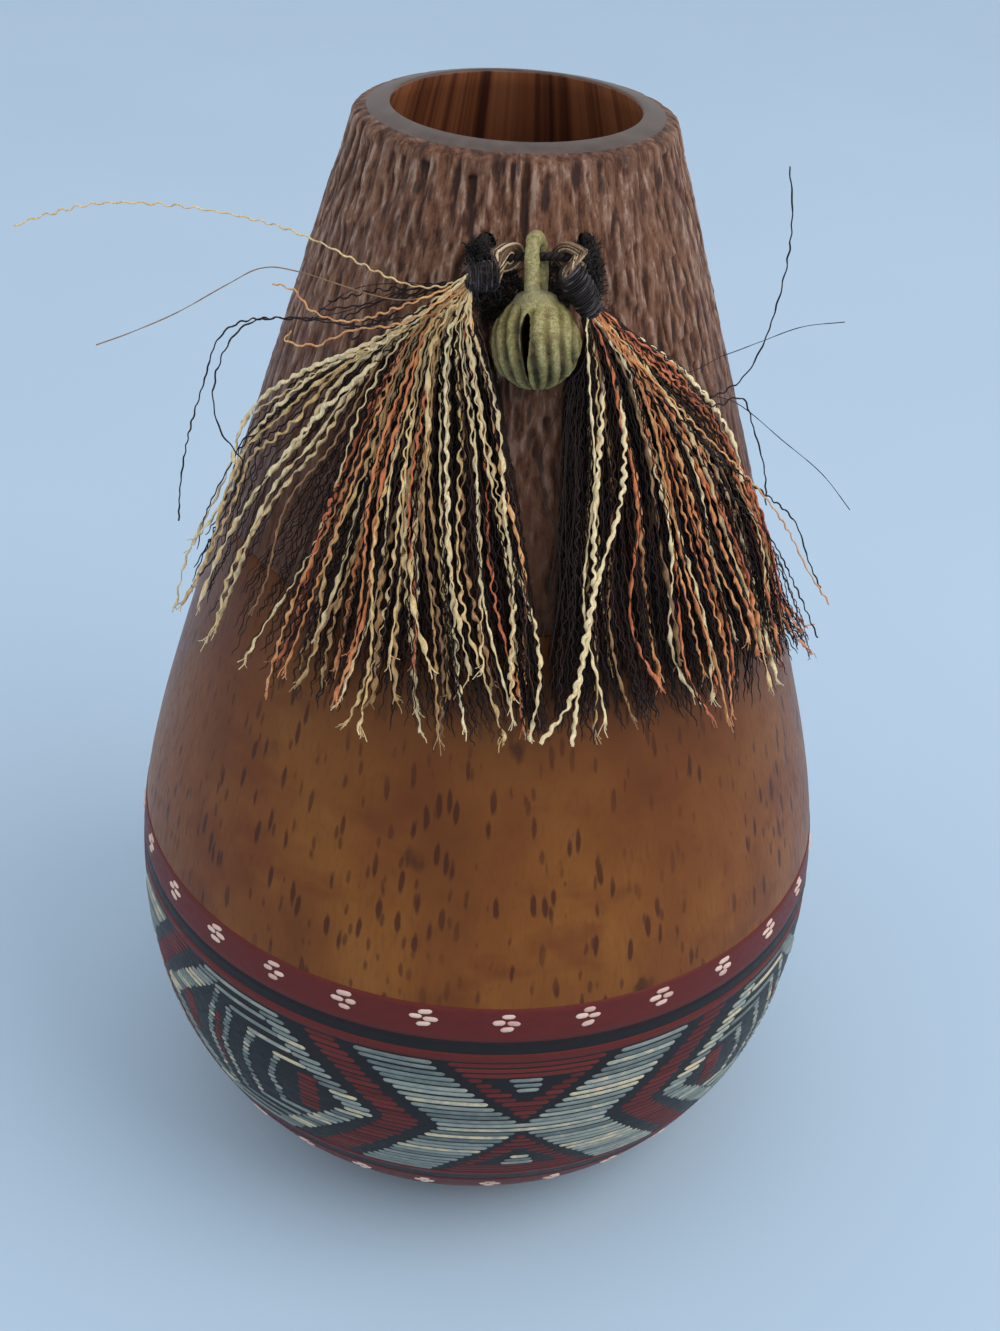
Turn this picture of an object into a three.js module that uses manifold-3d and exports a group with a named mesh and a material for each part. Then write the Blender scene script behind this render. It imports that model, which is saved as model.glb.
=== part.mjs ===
// A turned coconut wood vase. A thin cord through two holes in its neck carries
// two fibre tassels and a small cast bell with a loose pellet inside.
// Millimetres, +Z up. The origin is the centre of the base, and the bell faces -Y.

import * as THREE from "three";
import { mergeVertices } from "three/addons/utils/BufferGeometryUtils.js";
import Module from "manifold-3d";

const wasm = await Module();
wasm.setup();

// Clearances
const SEAT_GAP = 0.3;
const RUNNING_GAP = 0.4;

// Vase body
const VASE_HEIGHT = 250;
const BASE_RADIUS = 48.8;
const WIDEST_RADIUS = 81.4;
const WIDEST_HEIGHT = 69.7;
const MOUTH_RADIUS = 31.5;
const WALL_THICKNESS = 6.4;
const FLOOR_THICKNESS = 12;
const FLOOR_FILLET = 8;
const RIM_ROUND = 1.8;
const FOOT_SLOPE = 33;
const FOOT_HANDLE = 36.9;
const BELLY_HANDLE = 15.9;
const SHOULDER_HANDLE = 31;
const NECK_HANDLE = 134;
const NECK_LEAN = 17.25;
const BORDER_HEIGHT = 163;
const BORDER_WIDTH = 1.6;
const BORDER_DEPTH = 0.8;
const VASE_SIDES = 40;

// Hanger cord
const CORD_RADIUS = 0.9;
const CORD_BELOW_RIM = 15;
const CORD_STANDOFF = 8;
const HOLE_RADIUS = 2.2;
const HOLE_ANGLE = 15;
const HANGER_SHIFT = -1.1;
const KNOT_RADIUS = 1.7;

// Bell
const BELL_RADIUS = 8.4;
const BELL_WALL = 1.1;
const BELL_DROP = 15.5;
const BELL_YAW = -23;
const RIB_DEPTH = 0.7;
const RIB_COUNT = 10;
const SLIT_WIDTH = 2;
const SLIT_FOOT_WIDTH = 0.9;
const SLIT_TOP = 2.4;
const LOOP_RADIUS = 1.6;
const EYE_GAP = 0.7;
const CROWN_BASE_RADIUS = 6;
const CROWN_TOP_RADIUS = 2.6;
const CROWN_HEIGHT = 4;
const NUB_RADIUS = 0.8;
const PELLET_RADIUS = 2.4;

// Tassel heads
const FOLD_SPACING = 11.4;
const FOLD_THICKNESS = 2.8;
const BUNDLE_RADIUS = 2.2;
const THREAD_RADIUS = 0.34;
const THREAD_GAP = 0.43;
const HEAD_PITCH = 20;
const LEFT_HEAD_LENGTH = 8;
const LEFT_HEAD_DROP = 10;
const LEFT_HEAD_SPLAY = 2;
const RIGHT_HEAD_LENGTH = 11;
const RIGHT_HEAD_DROP = 56;
const RIGHT_HEAD_SPLAY = 10;

// Tassel strands
const SLICE_WIDTH = 5.6;
const SLICE_THICKNESS = 1.2;
const ROW_SPACING = 0.46;
const LAYER_SPACING = 0.95;
const DARK_LAYERS = 5;
const LIGHT_LAYERS = 3;
const STRANDS_PER_LAYER = 19;
const STRAND_RADIUS = 0.42;
const STRAND_ROOT_RADIUS = 0.12;
const STRAND_STANDOFF = 3.4;
const STRAND_LEAD_INNER = 4.5;
const STRAND_LEAD_OUTER = 12;
const TIP_SCATTER = 5;
const GROUP_GAP = 0.6;
const LEFT_FAN_DROP = 52;
const LEFT_FAN_INNER = -1;
const LEFT_FAN_OUTER = -80;
const LEFT_TIP_HEIGHT = 147;
const RIGHT_FAN_DROP = 70;
const RIGHT_FAN_INNER = 3;
const RIGHT_FAN_OUTER = 70;
const RIGHT_TIP_HEIGHT = 145;

const WOOD = new THREE.MeshStandardMaterial({ color: 0x7a4c2a, roughness: 0.45, metalness: 0 });
const CORD = new THREE.MeshStandardMaterial({ color: 0x1c1715, roughness: 0.85, metalness: 0 });
const THREAD = new THREE.MeshStandardMaterial({ color: 0x24201f, roughness: 0.8, metalness: 0 });
const FOLD_FIBRE = new THREE.MeshStandardMaterial({ color: 0x8a6f55, roughness: 0.7, metalness: 0 });
const DARK_FIBRE = new THREE.MeshStandardMaterial({ color: 0x35221b, roughness: 0.7, metalness: 0 });
const LIGHT_FIBRE = new THREE.MeshStandardMaterial({ color: 0xc2a068, roughness: 0.6, metalness: 0 });
const BRASS = new THREE.MeshStandardMaterial({ color: 0x84825f, roughness: 0.55, metalness: 0.8 });
const IRON = new THREE.MeshStandardMaterial({ color: 0x3f3a36, roughness: 0.6, metalness: 0.9 });

const UP = new THREE.Vector3(0, 0, 1);
const radians = THREE.MathUtils.degToRad;
const lerp = THREE.MathUtils.lerp;

// Closed mesh to solid, and back
function solidOf(geometry) {
  const bare = geometry.clone();
  bare.deleteAttribute("normal");
  bare.deleteAttribute("uv");
  const merged = mergeVertices(bare);
  const corners = merged.index.array;
  const triVerts = [];
  for (let i = 0; i < corners.length; i += 3) {
    const [a, b, c] = corners.slice(i, i + 3);
    if (a !== b && b !== c && c !== a) triVerts.push(a, b, c);
  }
  return new wasm.Manifold(new wasm.Mesh({
    numProp: 3,
    vertProperties: new Float32Array(merged.attributes.position.array),
    triVerts: new Uint32Array(triVerts),
  }));
}

function geometryOf(solid) {
  const mesh = solid.getMesh();
  const geometry = new THREE.BufferGeometry();
  geometry.setAttribute("position", new THREE.BufferAttribute(new Float32Array(mesh.vertProperties), 3));
  geometry.setIndex(new THREE.BufferAttribute(new Uint32Array(mesh.triVerts), 1));
  geometry.computeVertexNormals();
  return geometry;
}

function join(geometries) {
  return geometries.map(solidOf).reduce((whole, piece) => whole.add(piece));
}

// A geometry made along +Y, turned to a direction and moved to a place
function aim(geometry, direction, place) {
  const turn = new THREE.Quaternion().setFromUnitVectors(new THREE.Vector3(0, 1, 0), direction);
  return geometry.applyQuaternion(turn).translate(place.x, place.y, place.z);
}

function tube(path, radius, sides, steps) {
  const section = new THREE.Shape();
  for (let i = 0; i < sides; i += 1) {
    const angle = (2 * Math.PI * i) / sides;
    const corner = [radius * Math.cos(angle), radius * Math.sin(angle)];
    if (i === 0) section.moveTo(...corner);
    else section.lineTo(...corner);
  }
  return new THREE.ExtrudeGeometry(section, { steps, bevelEnabled: false, extrudePath: path });
}

function named(name, geometry, material) {
  const mesh = new THREE.Mesh(geometry, material);
  mesh.name = name;
  return mesh;
}

// Outline of the vase: a bowl below the widest ring, and a shoulder and neck above it
const at = (radius, height) => new THREE.Vector2(radius, height);
const bowl = new THREE.CubicBezierCurve(
  at(BASE_RADIUS, 0),
  at(BASE_RADIUS + FOOT_HANDLE * Math.cos(radians(FOOT_SLOPE)), FOOT_HANDLE * Math.sin(radians(FOOT_SLOPE))),
  at(WIDEST_RADIUS, WIDEST_HEIGHT - BELLY_HANDLE),
  at(WIDEST_RADIUS, WIDEST_HEIGHT),
);
const neck = new THREE.CubicBezierCurve(
  at(WIDEST_RADIUS, WIDEST_HEIGHT),
  at(WIDEST_RADIUS, WIDEST_HEIGHT + SHOULDER_HANDLE),
  at(
    MOUTH_RADIUS + NECK_HANDLE * Math.sin(radians(NECK_LEAN)),
    VASE_HEIGHT - NECK_HANDLE * Math.cos(radians(NECK_LEAN)),
  ),
  at(MOUTH_RADIUS, VASE_HEIGHT),
);
const OUTLINE = [...bowl.getPoints(60), ...neck.getPoints(160).slice(1)];

function outerRadius(height) {
  const next = OUTLINE.findIndex((point, i) => i > 0 && point.y >= height);
  const i = next < 0 ? OUTLINE.length - 1 : next;
  const below = OUTLINE[i - 1];
  const above = OUTLINE[i];
  return lerp(below.x, above.x, (height - below.y) / (above.y - below.y));
}

function innerRadius(height) {
  const reach = 1;
  const slope = (outerRadius(height + reach) - outerRadius(height - reach)) / (2 * reach);
  return outerRadius(height) - WALL_THICKNESS * Math.hypot(1, slope);
}

function corner(from, edge, to) {
  return new THREE.QuadraticBezierCurve(from, edge, to).getPoints(3);
}

function vaseProfile() {
  const shoulderEnd = VASE_HEIGHT - RIM_ROUND;
  const borderFrom = BORDER_HEIGHT - BORDER_WIDTH / 2;
  const borderTo = BORDER_HEIGHT + BORDER_WIDTH / 2;
  const rise = neck.getPoints(10).slice(1).filter((point) => point.y < shoulderEnd - RIM_ROUND);
  const border = [
    at(outerRadius(borderFrom), borderFrom),
    at(outerRadius(BORDER_HEIGHT) - BORDER_DEPTH, BORDER_HEIGHT),
    at(outerRadius(borderTo), borderTo),
  ];
  const outerRim = corner(
    at(outerRadius(shoulderEnd), shoulderEnd),
    at(MOUTH_RADIUS, VASE_HEIGHT),
    at(MOUTH_RADIUS - RIM_ROUND, VASE_HEIGHT),
  );
  const innerRim = corner(
    at(innerRadius(VASE_HEIGHT) + RIM_ROUND, VASE_HEIGHT),
    at(innerRadius(VASE_HEIGHT), VASE_HEIGHT),
    at(innerRadius(shoulderEnd), shoulderEnd),
  );
  const filletTop = FLOOR_THICKNESS + FLOOR_FILLET;
  const inside = [];
  for (let i = 1; i < 7; i += 1) {
    const height = lerp(shoulderEnd, filletTop, i / 7);
    inside.push(at(innerRadius(height), height));
  }
  const fillet = corner(
    at(innerRadius(filletTop), filletTop),
    at(innerRadius(FLOOR_THICKNESS), FLOOR_THICKNESS),
    at(innerRadius(FLOOR_THICKNESS) - FLOOR_FILLET, FLOOR_THICKNESS),
  );
  return [
    at(0, 0),
    ...bowl.getPoints(8),
    ...rise.filter((point) => point.y < borderFrom),
    ...border,
    ...rise.filter((point) => point.y > borderTo),
    ...outerRim,
    ...innerRim,
    ...inside,
    ...fillet,
    at(0, FLOOR_THICKNESS),
  ];
}

// The cord's places that the holes, the bell and the tassels share
const CORD_HEIGHT = VASE_HEIGHT - CORD_BELOW_RIM;
const RUN_Y = -(outerRadius(CORD_HEIGHT) + CORD_STANDOFF);
const HOLE_HEIGHT = CORD_HEIGHT + HOLE_RADIUS - CORD_RADIUS - SEAT_GAP;

function around(angle, radius, height) {
  return new THREE.Vector3(radius * Math.sin(radians(angle)), -radius * Math.cos(radians(angle)), height);
}

function vaseBody() {
  const blank = new THREE.LatheGeometry(vaseProfile(), VASE_SIDES).rotateX(Math.PI / 2);
  const bore = 4 * WALL_THICKNESS;
  const holes = [-HOLE_ANGLE, HOLE_ANGLE].map((angle) => {
    const drill = new THREE.CylinderGeometry(HOLE_RADIUS, HOLE_RADIUS, bore, 16);
    const middle = (outerRadius(HOLE_HEIGHT) + innerRadius(HOLE_HEIGHT)) / 2;
    return aim(drill, around(angle, 1, 0), around(angle, middle, HOLE_HEIGHT));
  });
  return geometryOf(solidOf(blank).subtract(join(holes)));
}

// The cord runs from a knot inside the neck, out of one hole, along the front and back in
function hangerCord() {
  const knotReach = KNOT_RADIUS + 2 * CORD_RADIUS;
  const knotY = -(innerRadius(CORD_HEIGHT + knotReach) - knotReach - SEAT_GAP);
  const insideEdge = innerRadius(CORD_HEIGHT);
  const outsideEdge = outerRadius(CORD_HEIGHT);
  const half = (side) => {
    const runEnd = HANGER_SHIFT + side * (FOLD_SPACING + FOLD_THICKNESS) / 2;
    const holeIn = around(side * HOLE_ANGLE, insideEdge, CORD_HEIGHT);
    const holeOut = around(side * HOLE_ANGLE, outsideEdge + 2 * CORD_RADIUS, CORD_HEIGHT);
    return [
      new THREE.Vector3(side * 0.7 * KNOT_RADIUS, knotY, CORD_HEIGHT),
      new THREE.Vector3(0.8 * holeIn.x, lerp(knotY, holeIn.y, 0.25), CORD_HEIGHT),
      holeIn,
      around(side * HOLE_ANGLE, (insideEdge + outsideEdge) / 2, CORD_HEIGHT),
      holeOut,
      new THREE.Vector3(lerp(runEnd, holeOut.x, 0.9), lerp(holeOut.y, RUN_Y, 0.65), CORD_HEIGHT),
      new THREE.Vector3(runEnd, RUN_Y, CORD_HEIGHT),
      new THREE.Vector3(HANGER_SHIFT + side * FOLD_SPACING / 4, RUN_Y, CORD_HEIGHT),
    ];
  };
  const route = [...half(-1), ...half(1).reverse()];
  const path = new THREE.CatmullRomCurve3(route, false, "centripetal");
  const knot = [0, 1].map((turn) => new THREE.TorusGeometry(KNOT_RADIUS, CORD_RADIUS, 6, 10)
    .rotateX(turn * Math.PI / 2)
    .rotateZ(Math.PI / 4 + turn * Math.PI / 2)
    .translate(0, knotY, CORD_HEIGHT));
  return geometryOf(join([tube(path, CORD_RADIUS, 8, 46), ...knot]));
}

// The bell, cast in one piece, hangs with the middle of its eye at the origin
const EYE_RADIUS = CORD_RADIUS + EYE_GAP;
const CAVITY_RADIUS = BELL_RADIUS - RIB_DEPTH - BELL_WALL;

function bellBody() {
  const steps = 3 * RIB_COUNT;
  const outline = [];
  for (let i = 0; i <= steps; i += 1) {
    const angle = (Math.PI * i) / steps;
    const valley = 1 - Math.abs(Math.sin(RIB_COUNT * angle));
    const radius = BELL_RADIUS - RIB_DEPTH * valley;
    outline.push(at(radius * Math.sin(angle), -radius * Math.cos(angle)));
  }
  outline[0].x = 0;
  outline[steps].x = 0;
  return new THREE.LatheGeometry(outline, 22).rotateZ(Math.PI / 2).translate(0, 0, -BELL_DROP);
}

function bellLoop() {
  const bend = EYE_RADIUS + LOOP_RADIUS;
  const foot = -BELL_DROP + Math.sqrt(BELL_RADIUS ** 2 - bend ** 2) - RIB_DEPTH;
  const route = [new THREE.Vector3(0, -bend, foot), new THREE.Vector3(0, -bend, foot / 2)];
  const arcSteps = 8;
  for (let i = 0; i <= arcSteps; i += 1) {
    const angle = (Math.PI * i) / arcSteps;
    route.push(new THREE.Vector3(0, -bend * Math.cos(angle), bend * Math.sin(angle)));
  }
  route.push(new THREE.Vector3(0, bend, foot / 2), new THREE.Vector3(0, bend, foot));
  return tube(new THREE.CatmullRomCurve3(route, false, "centripetal"), LOOP_RADIUS, 8, 18);
}

function bellSlit() {
  const foot = -BELL_RADIUS - BELL_WALL;
  const outline = new THREE.Shape();
  outline.moveTo(-SLIT_FOOT_WIDTH / 2, foot);
  outline.lineTo(SLIT_FOOT_WIDTH / 2, foot);
  outline.lineTo(SLIT_WIDTH / 2, -SLIT_WIDTH / 2);
  outline.quadraticCurveTo(SLIT_WIDTH / 2, SLIT_TOP, 0, SLIT_TOP);
  outline.quadraticCurveTo(-SLIT_WIDTH / 2, SLIT_TOP, -SLIT_WIDTH / 2, -SLIT_WIDTH / 2);
  const depth = 3 * BELL_RADIUS;
  return new THREE.ExtrudeGeometry(outline, { depth, bevelEnabled: false, curveSegments: 4 })
    .translate(0, 0, -depth / 2)
    .rotateX(Math.PI / 2)
    .translate(0, 0, -BELL_DROP);
}

function bell() {
  const crown = new THREE.CylinderGeometry(CROWN_TOP_RADIUS, CROWN_BASE_RADIUS, CROWN_HEIGHT, 20)
    .rotateX(Math.PI / 2)
    .translate(0, 0, -BELL_DROP + Math.sqrt(BELL_RADIUS ** 2 - CROWN_BASE_RADIUS ** 2) + CROWN_HEIGHT / 2);
  const nub = new THREE.SphereGeometry(NUB_RADIUS, 8, 6).translate(-BELL_RADIUS + RIB_DEPTH, 0, -BELL_DROP);
  const cavity = new THREE.SphereGeometry(CAVITY_RADIUS, 16, 10).translate(0, 0, -BELL_DROP);
  const casting = join([bellBody(), crown, bellLoop(), nub]);
  return geometryOf(casting.subtract(solidOf(cavity)).subtract(solidOf(bellSlit())));
}

// The bell leans out until its back lies a seat gap from the wall
function wallDistance(lean) {
  const y = RUN_Y - BELL_DROP * Math.sin(lean);
  const z = CORD_HEIGHT - BELL_DROP * Math.cos(lean);
  const radius = Math.hypot(HANGER_SHIFT, y);
  return Math.min(...OUTLINE.map((point) => Math.hypot(radius - point.x, z - point.y)));
}

function restingLean() {
  let inward = 0;
  let outward = Math.PI / 2;
  for (let i = 0; i < 40; i += 1) {
    const middle = (inward + outward) / 2;
    if (wallDistance(middle) < BELL_RADIUS + SEAT_GAP) inward = middle;
    else outward = middle;
  }
  return outward;
}

function hungBell() {
  const lean = restingLean();
  const hanging = new THREE.Group();
  hanging.position.set(HANGER_SHIFT, RUN_Y, CORD_HEIGHT);
  hanging.rotation.x = -lean;
  const turned = new THREE.Group();
  turned.rotation.z = radians(BELL_YAW);
  turned.add(named("bell", bell(), BRASS));
  hanging.add(turned);
  const pellet = named("bell_pellet", new THREE.SphereGeometry(PELLET_RADIUS, 14, 10), IRON);
  pellet.position.set(
    HANGER_SHIFT,
    RUN_Y - BELL_DROP * Math.sin(lean),
    CORD_HEIGHT - BELL_DROP * Math.cos(lean) - (CAVITY_RADIUS - PELLET_RADIUS - SEAT_GAP),
  );
  return [hanging, pellet];
}

// Tassels: a fibre bundle folded over the cord, whipped with thread, then fanned out
const RING_RADIUS = CORD_RADIUS + RUNNING_GAP + FOLD_THICKNESS / 2;
const THREAD_TURN_RADIUS = BUNDLE_RADIUS + SEAT_GAP + THREAD_RADIUS;
const WHIPPING_RADIUS = THREAD_TURN_RADIUS + THREAD_RADIUS;
const HEAD_OFFSET = CORD_RADIUS + RUNNING_GAP + WHIPPING_RADIUS;

// Where a strand bends, as shares of its path; the left fan's front bends once more, near its root
const STRAND_KNEES = [0, 0.52];
const BENT_KNEES = [0, 0.22, 0.52];

const LEFT = {
  name: "left",
  side: -1,
  length: LEFT_HEAD_LENGTH,
  drop: radians(LEFT_HEAD_DROP),
  splay: radians(LEFT_HEAD_SPLAY),
  fanDrop: radians(LEFT_FAN_DROP),
  fanInner: LEFT_FAN_INNER,
  fanOuter: LEFT_FAN_OUTER,
  tipHeight: LEFT_TIP_HEIGHT,
  frontKnees: BENT_KNEES,
};
const RIGHT = {
  name: "right",
  side: 1,
  length: RIGHT_HEAD_LENGTH,
  drop: radians(RIGHT_HEAD_DROP),
  splay: radians(RIGHT_HEAD_SPLAY),
  fanDrop: radians(RIGHT_FAN_DROP),
  fanInner: RIGHT_FAN_INNER,
  fanOuter: RIGHT_FAN_OUTER,
  tipHeight: RIGHT_TIP_HEIGHT,
  frontKnees: STRAND_KNEES,
};

// Directions at a drop below level: along the fibres, out from the wall, and across the fan
function directions(tassel, drop) {
  const { side, splay } = tassel;
  const along = new THREE.Vector3(
    side * Math.cos(drop) * Math.cos(splay),
    -Math.cos(drop) * Math.sin(splay),
    -Math.sin(drop),
  );
  const out = new THREE.Vector3(0, -1, 0);
  out.addScaledVector(along, -out.dot(along)).normalize();
  const across = new THREE.Vector3().crossVectors(along, out).normalize();
  if (across.dot(UP) < 0) across.negate();
  return { along, out, across };
}

function headFrame(tassel) {
  const pitch = radians(HEAD_PITCH);
  const ring = new THREE.Vector3(HANGER_SHIFT + tassel.side * FOLD_SPACING / 2, RUN_Y, CORD_HEIGHT);
  const start = ring.clone().add(
    new THREE.Vector3(0, -HEAD_OFFSET * Math.cos(pitch), -HEAD_OFFSET * Math.sin(pitch)),
  );
  return { ring, start, ...directions(tassel, tassel.drop) };
}

function tasselFold(tassel) {
  const { ring, start, along } = headFrame(tassel);
  const loop = new THREE.TorusGeometry(RING_RADIUS, FOLD_THICKNESS / 2, 7, 14)
    .rotateY(Math.PI / 2)
    .translate(ring.x, ring.y, ring.z);
  const shoulder = new THREE.SphereGeometry(BUNDLE_RADIUS, 10, 6).translate(start.x, start.y, start.z);
  const middle = start.clone().addScaledVector(along, tassel.length / 2);
  const bundle = new THREE.CylinderGeometry(BUNDLE_RADIUS, BUNDLE_RADIUS, tassel.length, 12);
  return geometryOf(join([loop, shoulder, aim(bundle, along, middle)]));
}

// Thread wound round the neck, with straight ends one thread diameter long
class Winding extends THREE.Curve {
  constructor(centre, along, out, turns, pitch) {
    super();
    this.centre = centre;
    this.along = along;
    this.out = out;
    this.side = new THREE.Vector3().crossVectors(along, out);
    this.turns = turns;
    this.pitch = pitch;
    this.turnLength = Math.hypot(2 * Math.PI * THREAD_TURN_RADIUS, pitch);
    this.lead = 2 * THREAD_RADIUS;
  }

  onTurn(turn) {
    const angle = 2 * Math.PI * turn;
    return this.centre.clone()
      .addScaledVector(this.along, this.pitch * turn)
      .addScaledVector(this.out, THREAD_TURN_RADIUS * Math.cos(angle))
      .addScaledVector(this.side, THREAD_TURN_RADIUS * Math.sin(angle));
  }

  getPoint(t, target = new THREE.Vector3()) {
    const wound = this.turns * this.turnLength;
    const length = t * (wound + 2 * this.lead) - this.lead;
    const held = THREE.MathUtils.clamp(length, 0, wound) / this.turnLength;
    const small = 0.001;
    const heading = this.onTurn(held + small).sub(this.onTurn(held - small)).normalize();
    const past = length - held * this.turnLength;
    return target.copy(this.onTurn(held)).addScaledVector(heading, past);
  }
}

function leastGap(path, turns) {
  const perTurn = 40;
  const points = path.getSpacedPoints(Math.round(turns * perTurn));
  let least = Infinity;
  for (let i = 0; i < points.length; i += 1) {
    for (let j = i + perTurn / 2; j < points.length; j += 1) {
      least = Math.min(least, points[i].distanceTo(points[j]));
    }
  }
  return least - 2 * THREAD_RADIUS;
}

function tasselWhipping(tassel) {
  const { start, along, out } = headFrame(tassel);
  const pitch = 2 * THREAD_RADIUS + THREAD_GAP;
  const from = FOLD_THICKNESS / 2 + SEAT_GAP + THREAD_RADIUS;
  const turns = Math.floor((tassel.length - from - THREAD_RADIUS) / pitch);
  const path = new Winding(start.clone().addScaledVector(along, from), along, out, turns, pitch);
  console.log(`${tassel.name} whipping: ${turns} turns, least gap ${leastGap(path, turns).toFixed(2)} mm`);
  return tube(path, THREAD_RADIUS, 4, turns * 9 + 4);
}

// Strands are laid out round the wall as angle, height and distance from the wood
function onWall(point) {
  return {
    angle: THREE.MathUtils.radToDeg(Math.atan2(point.x, -point.y)),
    height: point.z,
    off: Math.hypot(point.x, point.y) - outerRadius(point.z),
  };
}

function offWall({ angle, height, off }) {
  return around(angle, outerRadius(height) + off, height);
}

function between(a, b, share) {
  return {
    angle: lerp(a.angle, b.angle, share),
    height: lerp(a.height, b.height, share),
    off: lerp(a.off, b.off, share),
  };
}

function bend(a, b, c, d, t) {
  const first = between(between(a, b, t), between(b, c, t), t);
  const second = between(between(b, c, t), between(c, d, t), t);
  return between(first, second, t);
}

function strand(points, radii) {
  const positions = [];
  const indices = [];
  const last = points.length - 1;
  points.forEach((point, i) => {
    const heading = points[Math.min(i + 1, last)].clone().sub(points[Math.max(i - 1, 0)]).normalize();
    const outward = new THREE.Vector3(point.x, point.y, 0).normalize();
    const side = new THREE.Vector3().crossVectors(heading, outward).normalize();
    const face = new THREE.Vector3().crossVectors(side, heading);
    for (let k = 0; k < 3; k += 1) {
      const angle = Math.PI / 2 + (2 * Math.PI * k) / 3;
      const place = point.clone()
        .addScaledVector(side, radii[i] * Math.cos(angle))
        .addScaledVector(face, radii[i] * Math.sin(angle));
      positions.push(place.x, place.y, place.z);
    }
  });
  for (let i = 0; i < last; i += 1) {
    for (let k = 0; k < 3; k += 1) {
      const a = 3 * i + k;
      const b = 3 * i + ((k + 1) % 3);
      indices.push(a, a + 3, b, b, a + 3, b + 3);
    }
  }
  indices.push(0, 1, 2, 3 * last, 3 * last + 2, 3 * last + 1);
  const geometry = new THREE.BufferGeometry();
  geometry.setAttribute("position", new THREE.Float32BufferAttribute(positions, 3));
  geometry.setIndex(indices);
  return geometry;
}

// One group of strand layers, fused to a slice of the bundle's end
function tasselStrands(tassel, firstLayer, layers) {
  const head = headFrame(tassel);
  const { along, out, across } = directions(tassel, tassel.fanDrop);
  const tilt = tassel.fanDrop - tassel.drop;
  const reach = tassel.length + SEAT_GAP + (SLICE_WIDTH / 2) * Math.sin(tilt);
  const face = head.start.clone().addScaledVector(head.along, reach);
  const allLayers = DARK_LAYERS + LIGHT_LAYERS;
  const isFront = firstLayer > 0;
  const parting = isFront ? SEAT_GAP / 2 : -SEAT_GAP / 2;
  const rowAt = (layer) => (layer - (allLayers - 1) / 2) * ROW_SPACING + parting;
  const sliceMiddle = (rowAt(firstLayer) + rowAt(firstLayer + layers - 1)) / 2;
  const slice = new THREE.BoxGeometry(SLICE_WIDTH, SLICE_THICKNESS, layers * ROW_SPACING);
  const turn = new THREE.Matrix4().makeBasis(across, along, new THREE.Vector3().crossVectors(across, along));
  slice.applyMatrix4(turn);
  const place = face.clone().addScaledVector(along, SLICE_THICKNESS / 2).addScaledVector(out, sliceMiddle);
  slice.translate(place.x, place.y, place.z);

  const samples = isFront ? tassel.frontKnees : STRAND_KNEES;
  const grown = (t) => lerp(STRAND_ROOT_RADIUS, STRAND_RADIUS, Math.min(1, 2 * t));
  const radii = [...samples.map(grown), STRAND_RADIUS];
  const pieces = [slice];
  for (let layer = firstLayer; layer < firstLayer + layers; layer += 1) {
    for (let k = 0; k < STRANDS_PER_LAYER; k += 1) {
      const stagger = (layer % 2) / 2;
      const share = (k + 0.25 + stagger) / STRANDS_PER_LAYER;
      const root = face.clone()
        .addScaledVector(along, SLICE_THICKNESS / 2)
        .addScaledVector(out, rowAt(layer))
        .addScaledVector(across, (share - 0.5) * (SLICE_WIDTH - 4 * STRAND_ROOT_RADIUS));
      const lead = lerp(STRAND_LEAD_INNER, STRAND_LEAD_OUTER, share) + SLICE_THICKNESS / 2;
      const leaving = onWall(root.clone().addScaledVector(along, lead));
      const tip = {
        angle: lerp(tassel.fanInner, tassel.fanOuter, share),
        height: tassel.tipHeight,
        off: STRAND_STANDOFF + layer * LAYER_SPACING + (isFront ? GROUP_GAP : 0),
      };
      const arriving = between(leaving, tip, 0.6);
      const trim = TIP_SCATTER * (1 + Math.sin(2.4 * k + 1.7 * layer)) / 2;
      const end = 1 - trim / (root.z - tip.height);
      const points = [...samples, end].map((t) => offWall(bend(onWall(root), leaving, arriving, tip, t)));
      pieces.push(strand(points, radii));
    }
  }
  return geometryOf(join(pieces));
}

function tasselMeshes(tassel) {
  return [
    named(`${tassel.name}_tassel_fold`, tasselFold(tassel), FOLD_FIBRE),
    named(`${tassel.name}_tassel_whipping`, tasselWhipping(tassel), THREAD),
    named(`${tassel.name}_tassel_dark_strands`, tasselStrands(tassel, 0, DARK_LAYERS), DARK_FIBRE),
    named(`${tassel.name}_tassel_light_strands`, tasselStrands(tassel, DARK_LAYERS, LIGHT_LAYERS), LIGHT_FIBRE),
  ];
}

const vase = new THREE.Group();
vase.add(named("vase_body", vaseBody(), WOOD));
vase.add(named("hanger_cord", hangerCord(), CORD));
vase.add(...hungBell());
vase.add(...tasselMeshes(LEFT));
vase.add(...tasselMeshes(RIGHT));

export default vase;
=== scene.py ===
"""The look of the coconut wood vase: carved wood, a painted belt, a cast bell and two fibre tassels."""
import math

import bpy
import numpy as np
from mathutils import Matrix, Vector, noise


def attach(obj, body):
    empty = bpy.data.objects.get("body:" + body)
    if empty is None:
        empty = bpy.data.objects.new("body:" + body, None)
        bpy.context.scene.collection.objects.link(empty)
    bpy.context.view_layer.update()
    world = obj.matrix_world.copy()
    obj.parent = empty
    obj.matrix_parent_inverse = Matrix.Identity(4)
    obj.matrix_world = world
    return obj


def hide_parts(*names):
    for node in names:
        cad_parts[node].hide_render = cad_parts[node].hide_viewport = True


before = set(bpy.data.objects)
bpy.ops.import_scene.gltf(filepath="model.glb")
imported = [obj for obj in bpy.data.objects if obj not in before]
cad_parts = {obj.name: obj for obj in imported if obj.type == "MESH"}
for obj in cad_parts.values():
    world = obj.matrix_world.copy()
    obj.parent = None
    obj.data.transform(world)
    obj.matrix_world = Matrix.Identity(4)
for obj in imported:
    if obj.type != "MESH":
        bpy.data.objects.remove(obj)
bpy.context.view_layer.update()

MM = 0.001

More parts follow.
